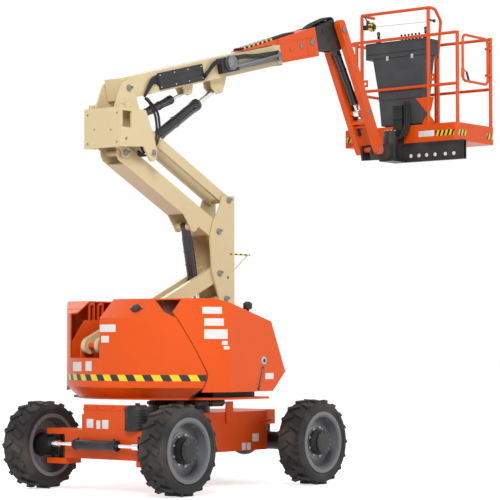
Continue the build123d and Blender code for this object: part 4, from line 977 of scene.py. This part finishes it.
def console_details():
    """Lid, seams, switches, sticks, stop button and latches of the console."""
    low, high = Vector(CONSOLE_BOX[0]), Vector(CONSOLE_BOX[1])
    top = high.z
    pieces = [raw_block("lid", (low.x - 0.006, low.y - 0.006, top - 0.030),
                        (high.x + 0.004, high.y + 0.006, top - 0.012), 0.006),
              raw_block("lid", (low.x + 0.02, low.y + 0.03, top - 0.014),
                        (high.x - 0.02, high.y - 0.03, top + 0.004), 0.008)]
    settle(joined("console_lid", pieces), CONSOLE, "platform")
    seams = [(low.y + 0.01, high.y - 0.01, top - 0.135, top - 0.127)]
    for z in (top - 0.185, top - 0.536, top - 0.660):
        taper = (top - 0.185 - z) / 0.77
        near, far = BOOM_Y - 0.315 + 0.068 * taper, BOOM_Y + 0.394 - 0.116 * taper
        seams.append((near + 0.004, far - 0.004, z - 0.006, z + 0.004))
    pieces = [raw_block("seam", (low.x - 0.0035, y0, z0), (low.x + 0.10, y1, z1), 0.002)
              for y0, y1, z0, z1 in seams]
    settle(joined("console_seams", pieces), BLACK_STEEL, "platform")
    pieces = []
    for step in range(6):
        at = Vector((low.x + 0.060, low.y + 0.115 + 0.048 * step, top + 0.002))
        pieces.append(bar(at, UP, 0, 0.016, 0.015, 20, 0.002))
        pieces.append(raw_round("switch", at + UP * 0.012, at + Vector((-0.014, 0, 0.056)), 0.007, 14, 0.002))
        pieces.append(raw_ball(at + Vector((-0.015, 0, 0.060)), 0.013, 16))
    for y in (low.y + 0.052, high.y - 0.12):
        at = Vector((low.x + 0.085, y, top))
        pieces.append(bar(at, UP, 0, 0.022, 0.034, 28, 0.006))
        pieces.append(bar(at, UP, 0.018, 0.085, 0.012, 16, 0.002))
        pieces.append(raw_round("stick", at + UP * 0.060, at + Vector((-0.004, 0, 0.118)), 0.017, 20, 0.005))
        pieces.append(raw_ball(at + Vector((-0.004, 0, 0.120)), 0.021, 24))
    settle(joined("console_switches", pieces), BLACK_GLOSS, "platform")
    at = Vector((high.x - 0.06, low.y + 0.10, top))
    stop = [bar(at, UP, 0, 0.012, 0.026, 28, 0.002), bar(at, UP, 0.010, 0.028, 0.018, 28, 0.006)]
    settle(joined("console_stop_button", stop), RED, "platform")
    pieces = [raw_block("latch", (low.x - 0.008, y - 0.016, top - 0.215),
                        (low.x + 0.002, y + 0.016, top - 0.165), 0.003)
              for y in (low.y + 0.18, high.y - 0.30)]
    settle(joined("console_latches", pieces), ZINC, "platform")


def hoop_wire():
    """Trip wire strung behind the guard hoop, between a striped disc switch and an eye."""
    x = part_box("rails_rear")[0][0] + 0.024
    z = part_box("guard_hoop")[1][2] - 0.154
    disc = Vector((x + 0.02, SLEW.y + 0.706, z))
    eye = Vector((x + 0.09, SLEW.y - 0.090, z))
    face = bar(disc, ACROSS, -0.022, 0.022, 0.052, 40, 0.004)
    settle(joined("trip_switch_disc", [face]), HAZARD_DISC, "platform")
    pieces = [bar(disc, ACROSS, -0.040, -0.020, 0.026, 28, 0.003),
              bar(disc, ACROSS, 0.020, 0.110, 0.030, 28, 0.004),
              raw_block("body", disc + Vector((-0.030, 0.040, -0.012)),
                        disc + Vector((0.012, 0.062, 0.075)), 0.004),
              raw_pipe("body", [disc + Vector((0.0, 0.05, 0.05)), disc + Vector((-0.006, 0.070, 0.085)),
                                disc + Vector((-0.008, 0.095, 0.122))], 0.007)]
    settle(joined("trip_switch_body", pieces), BLACK_STEEL, "platform")
    sag = disc.lerp(eye + Vector((-0.01, 0, -0.010)), 0.5)
    wire = raw_pipe("trip_wire", [disc - ACROSS * 0.030, sag, eye], 0.0028, resolution=4, caps=False)
    settle(wire, ZINC, "platform")
    pieces = [bar(eye, ACROSS, -0.012, 0.012, 0.018, 24, 0.003),
              raw_block("eye", eye + Vector((-0.105, -0.006, -0.009)), eye + Vector((-0.008, 0.006, 0.009)), 0.002)]
    settle(joined("trip_wire_eye", pieces), BLACK_STEEL, "platform")


def kick_details():
    """Blank plate and striped bands on the kick plates."""
    low, high = Vector(KICK[0]), Vector(KICK[1])
    z0, z1 = low.z + 0.055, low.z + 0.118
    proud = 0.0014
    x, y = low.x, low.y
    flush_plate("kick_plate_blank", (x - proud, SLEW.y - 0.165, z0 + 0.002),
                (x + 0.001, SLEW.y + 0.042, z1 + 0.004), WHITE_PLATE, "platform")
    for name, y0, y1 in (("kick_band_rear", y + 0.032, SLEW.y - 0.180),
                         ("kick_band_rear_far", high.y - 0.165, high.y - 0.032)):
        band = raw_block(name, (x - proud, y0, z0), (x + 0.001, y1, z1), 0)
        settle(joined(name, [band]), HAZARD_KICK_Y, "platform")
    for name, x0, x1 in (("kick_band_near_left", x + 0.032, x + 0.190),
                         ("kick_band_near_right", high.x - 0.150, high.x - 0.032)):
        band = raw_block(name, (x0, y - proud, z0), (x1, y + 0.001, z1), 0)
        settle(joined(name, [band]), HAZARD_KICK_X, "platform")


def rail_gussets():
    """Welded gussets at the feet of the posts, and the plate that carries the hoop's stay."""
    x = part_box("rails_rear")[0][0] + 0.020
    deck = DECK[1][2]
    gusset_z = deck + 0.245
    pieces = []
    for y in (SLEW.y - 0.075, SLEW.y + 0.830):
        for side in (-1, 1):
            middle = Vector((x, y + side * 0.048, gusset_z))
            half = Vector((0.004, 0.030, 0.050))
            web = raw_block("gusset", middle - half, middle + half, 0)
            for vertex in web.data.vertices:
                if (vertex.co.y - y) * side > 0.05 and vertex.co.z > gusset_z:
                    vertex.co.z -= 0.075
            pieces.append(web)
    settle(joined("post_gussets", pieces), ORANGE, "platform")
    middle = Vector((x, SLEW.y - 0.026, deck + 0.421))
    half = Vector((0.004, 0.12, 0.0775))
    plate = raw_block("plate", middle - half, middle + half, 0)
    for vertex in plate.data.vertices:
        if vertex.co.z < middle.z:
            vertex.co.y = SLEW.y - 0.075 + (0.035 if vertex.co.y > middle.y else -0.030)
    settle(joined("stay_plate", [plate]), ORANGE, "platform")


def post_caps():
    """Caps of the guard rail's posts, and the gate's latch."""
    low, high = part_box("rails_front")
    pieces = []
    for x in (high[0] - 0.020, DECK[0][0] + 0.060):
        pieces.append(bar(Vector((x, low[1] + 0.024, high[2])), UP, -0.012, 0.001, 0.0225, 24, 0.003))
    settle(joined("post_caps", pieces), ORANGE, "platform")
    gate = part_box("gate")
    at = Vector((gate[0][0] + 0.015, (gate[0][1] + gate[1][1]) / 2, 4.33))
    pieces = [bar(at, UP, -0.05, 0.05, 0.019, 24, 0.003),
              raw_pipe("latch", [at + Vector((0.012, 0, 0.03)), at + Vector((0.055, 0, 0.030)),
                                 at + Vector((0.095, 0, 0.0)), at + Vector((0.115, 0, -0.055))], 0.008)]
    settle(joined("gate_latch_bar", pieces), ORANGE, "gate")
    grip = [raw_round("grip", at + Vector((0.075, 0, 0.018)), at + Vector((0.122, 0, -0.075)), 0.0125, 20, 0.004)]
    settle(joined("gate_latch_grip", grip), BLACK_GLOSS, "gate")


def mount_details():
    """Ringed beam face, ribs, bolts and hoses of the mount under the platform."""
    axis = pivot("platform_rotate")
    post_x = DECK[0][0] - 0.035
    pieces = []
    for angle in shares(8):
        at = axis + Vector((0.056 * math.cos(angle), 0.056 * math.sin(angle), 0.240))
        pieces.append(bar(at, UP, -0.002, 0.009, 0.0075, 6, 0.001))
    settle(joined("rotator_bolts", pieces), ZINC, "platform")
    # beam: raised rings round the pale discs in its web, and its flanges; the discs are painted light, the bright
    # backdrop seen through the holes
    face = DECK[0][0] - 0.012
    holes = [Vector((face, SLEW.y + y, 3.425)) for y in (0.137, 0.030, -0.072, -0.184, -0.318, -0.429)]
    pieces = [raw_ring(hole, (0, math.pi / 2, 0), 0.024, 0.0035, 40) for hole in holes]
    for z in (3.375, 3.545):
        pieces.append(raw_block("flange", (face - 0.006, SLEW.y - 0.545, z - 0.005),
                                (face + 0.02, SLEW.y + 0.385, z + 0.005), 0.002))
    settle(joined("beam_rings", pieces), BLACK_STEEL, "platform")
    # pale discs in the holes: painted light that stands in for the bright backdrop seen through them
    painted_backdrop_discs = [bar(hole, Vector((1, 0, 0)), -0.0015, 0.002, 0.021, 40, 0.0005) for hole in holes]
    settle(joined("beam_holes", painted_backdrop_discs), WHITE_PLATE, "platform")
    # upright's ribs and the pipes beside it
    pieces = [raw_block("rib", (post_x - 0.012, BOOM_Y - 0.066, z),
                        (post_x + 0.03, BOOM_Y + 0.066, z + 0.010), 0.002)
              for z in (3.60, 3.72, 3.84, 3.96)]
    settle(joined("mount_ribs", pieces), BLACK_STEEL, "platform")
    pieces = []
    for index in range(4):
        y = BOOM_Y - 0.085 - 0.020 * index
        pieces += hose([Vector((axis.x + 0.06, BOOM_Y - 0.05 - 0.01 * index, 3.62)),
                        Vector((axis.x + 0.085, y, 3.66)), Vector((post_x - 0.01, y - 0.02, 3.74)),
                        Vector((post_x + 0.010, y - 0.01, 3.90)), Vector((post_x + 0.012, y, 4.03))], 0.009)
    settle(joined("mount_hoses", pieces), HOSE, "platform")


FLOOR_GLOW = 0.66               # white floor, with the object's shadow kept
WORLD_LIGHT = 0.36


def seen_directly(tree):
    """1 for a ray from the camera or a glossy reflection, 0 for light that falls on the object."""
    path = tree.nodes.new("ShaderNodeLightPath").outputs
    return number(tree, "MAXIMUM", path["Is Camera Ray"], path["Is Glossy Ray"])


def stage():
    """Pale floor and white surroundings."""
    clear()
    bpy.ops.mesh.primitive_plane_add(size=120, location=(0, 0, -0.001))
    floor = bpy.context.active_object
    floor.name = "floor"
    material, tree, shader = principled("pale_floor")
    feed(tree, shader.inputs["Base Color"], (0.92, 0.92, 0.92, 1))
    feed(tree, shader.inputs["Roughness"], 0.95)
    glow = tree.nodes.new("ShaderNodeEmission")
    feed(tree, glow.inputs["Color"], (1, 1, 1, 1))
    feed(tree, glow.inputs["Strength"], number(tree, "MULTIPLY", seen_directly(tree), FLOOR_GLOW))
    both = tree.nodes.new("ShaderNodeAddShader")
    feed(tree, both.inputs[0], shader.outputs["BSDF"])
    feed(tree, both.inputs[1], glow.outputs["Emission"])
    feed(tree, tree.nodes["Material Output"].inputs["Surface"], both.outputs["Shader"])
    floor.data.materials.append(material)

    world = bpy.data.worlds.new("studio")
    bpy.context.scene.world = world
    world.use_nodes = True
    tree = world.node_tree
    blend = tree.nodes.new("ShaderNodeMixShader")
    feed(tree, blend.inputs["Fac"], seen_directly(tree))
    for slot, back, strength in ((1, tree.nodes["Background"], WORLD_LIGHT),
                                 (2, tree.nodes.new("ShaderNodeBackground"), 1.0)):
        feed(tree, back.inputs["Color"], (1, 1, 1, 1))
        feed(tree, back.inputs["Strength"], strength)
        feed(tree, blend.inputs[slot], back.outputs["Background"])
    feed(tree, tree.nodes["World Output"].inputs["Surface"], blend.outputs["Shader"])


def area(name, place, target, size, power):
    data = bpy.data.lights.new(name, "AREA")
    data.size = size
    data.energy = power
    lamp = bpy.data.objects.new(name, data)
    lamp.location = place
    lamp.rotation_euler = (Vector(target) - Vector(place)).to_track_quat("-Z", "Y").to_euler()
    bpy.context.scene.collection.objects.link(lamp)


def studio():
    middle = (0, 0, 2.2)
    area("key", (-11, -7, 10), middle, 5, 1350)
    area("fill", (6, -12, 6), middle, 6, 330)
    area("rim_light", (4, 10, 9), middle, 6, 350)


CAMERA_PLACE = (-15.9655, -12.3315, 1.344)
CAMERA_YAW = 51.21              # from +Y towards +X
CAMERA_PITCH = 2.684


def camera():
    data = bpy.data.cameras.new("camera")
    data.lens = 143.1
    data.sensor_width = 36
    eye = bpy.data.objects.new("camera", data)
    eye.location = CAMERA_PLACE
    eye.rotation_euler = (math.radians(90 + CAMERA_PITCH), 0, math.radians(-CAMERA_YAW))
    bpy.context.scene.collection.objects.link(eye)
    bpy.context.scene.camera = eye


tail_details()
tail_seams()
hood_details()
swing_drive()
canister()
front_details()
steering_details()
for wheel in WHEELS:
    wheel_details(wheel, 1 if wheel.endswith("left") else -1)
tower_pins()
striped_bracket()
carrier_fittings()
for cylinder, ports in CYLINDER_PORTS.items():
    cylinder_details(cylinder, ports)
carrier_hoses()
mid_arm_hoses()
boom_details()
fly_details()
jib_head_details()
jib_details()
console_details()
hoop_wire()
kick_details()
rail_gussets()
post_caps()
mount_details()
stage()
studio()
camera()
bpy.context.scene.view_settings.view_transform = "Standard"
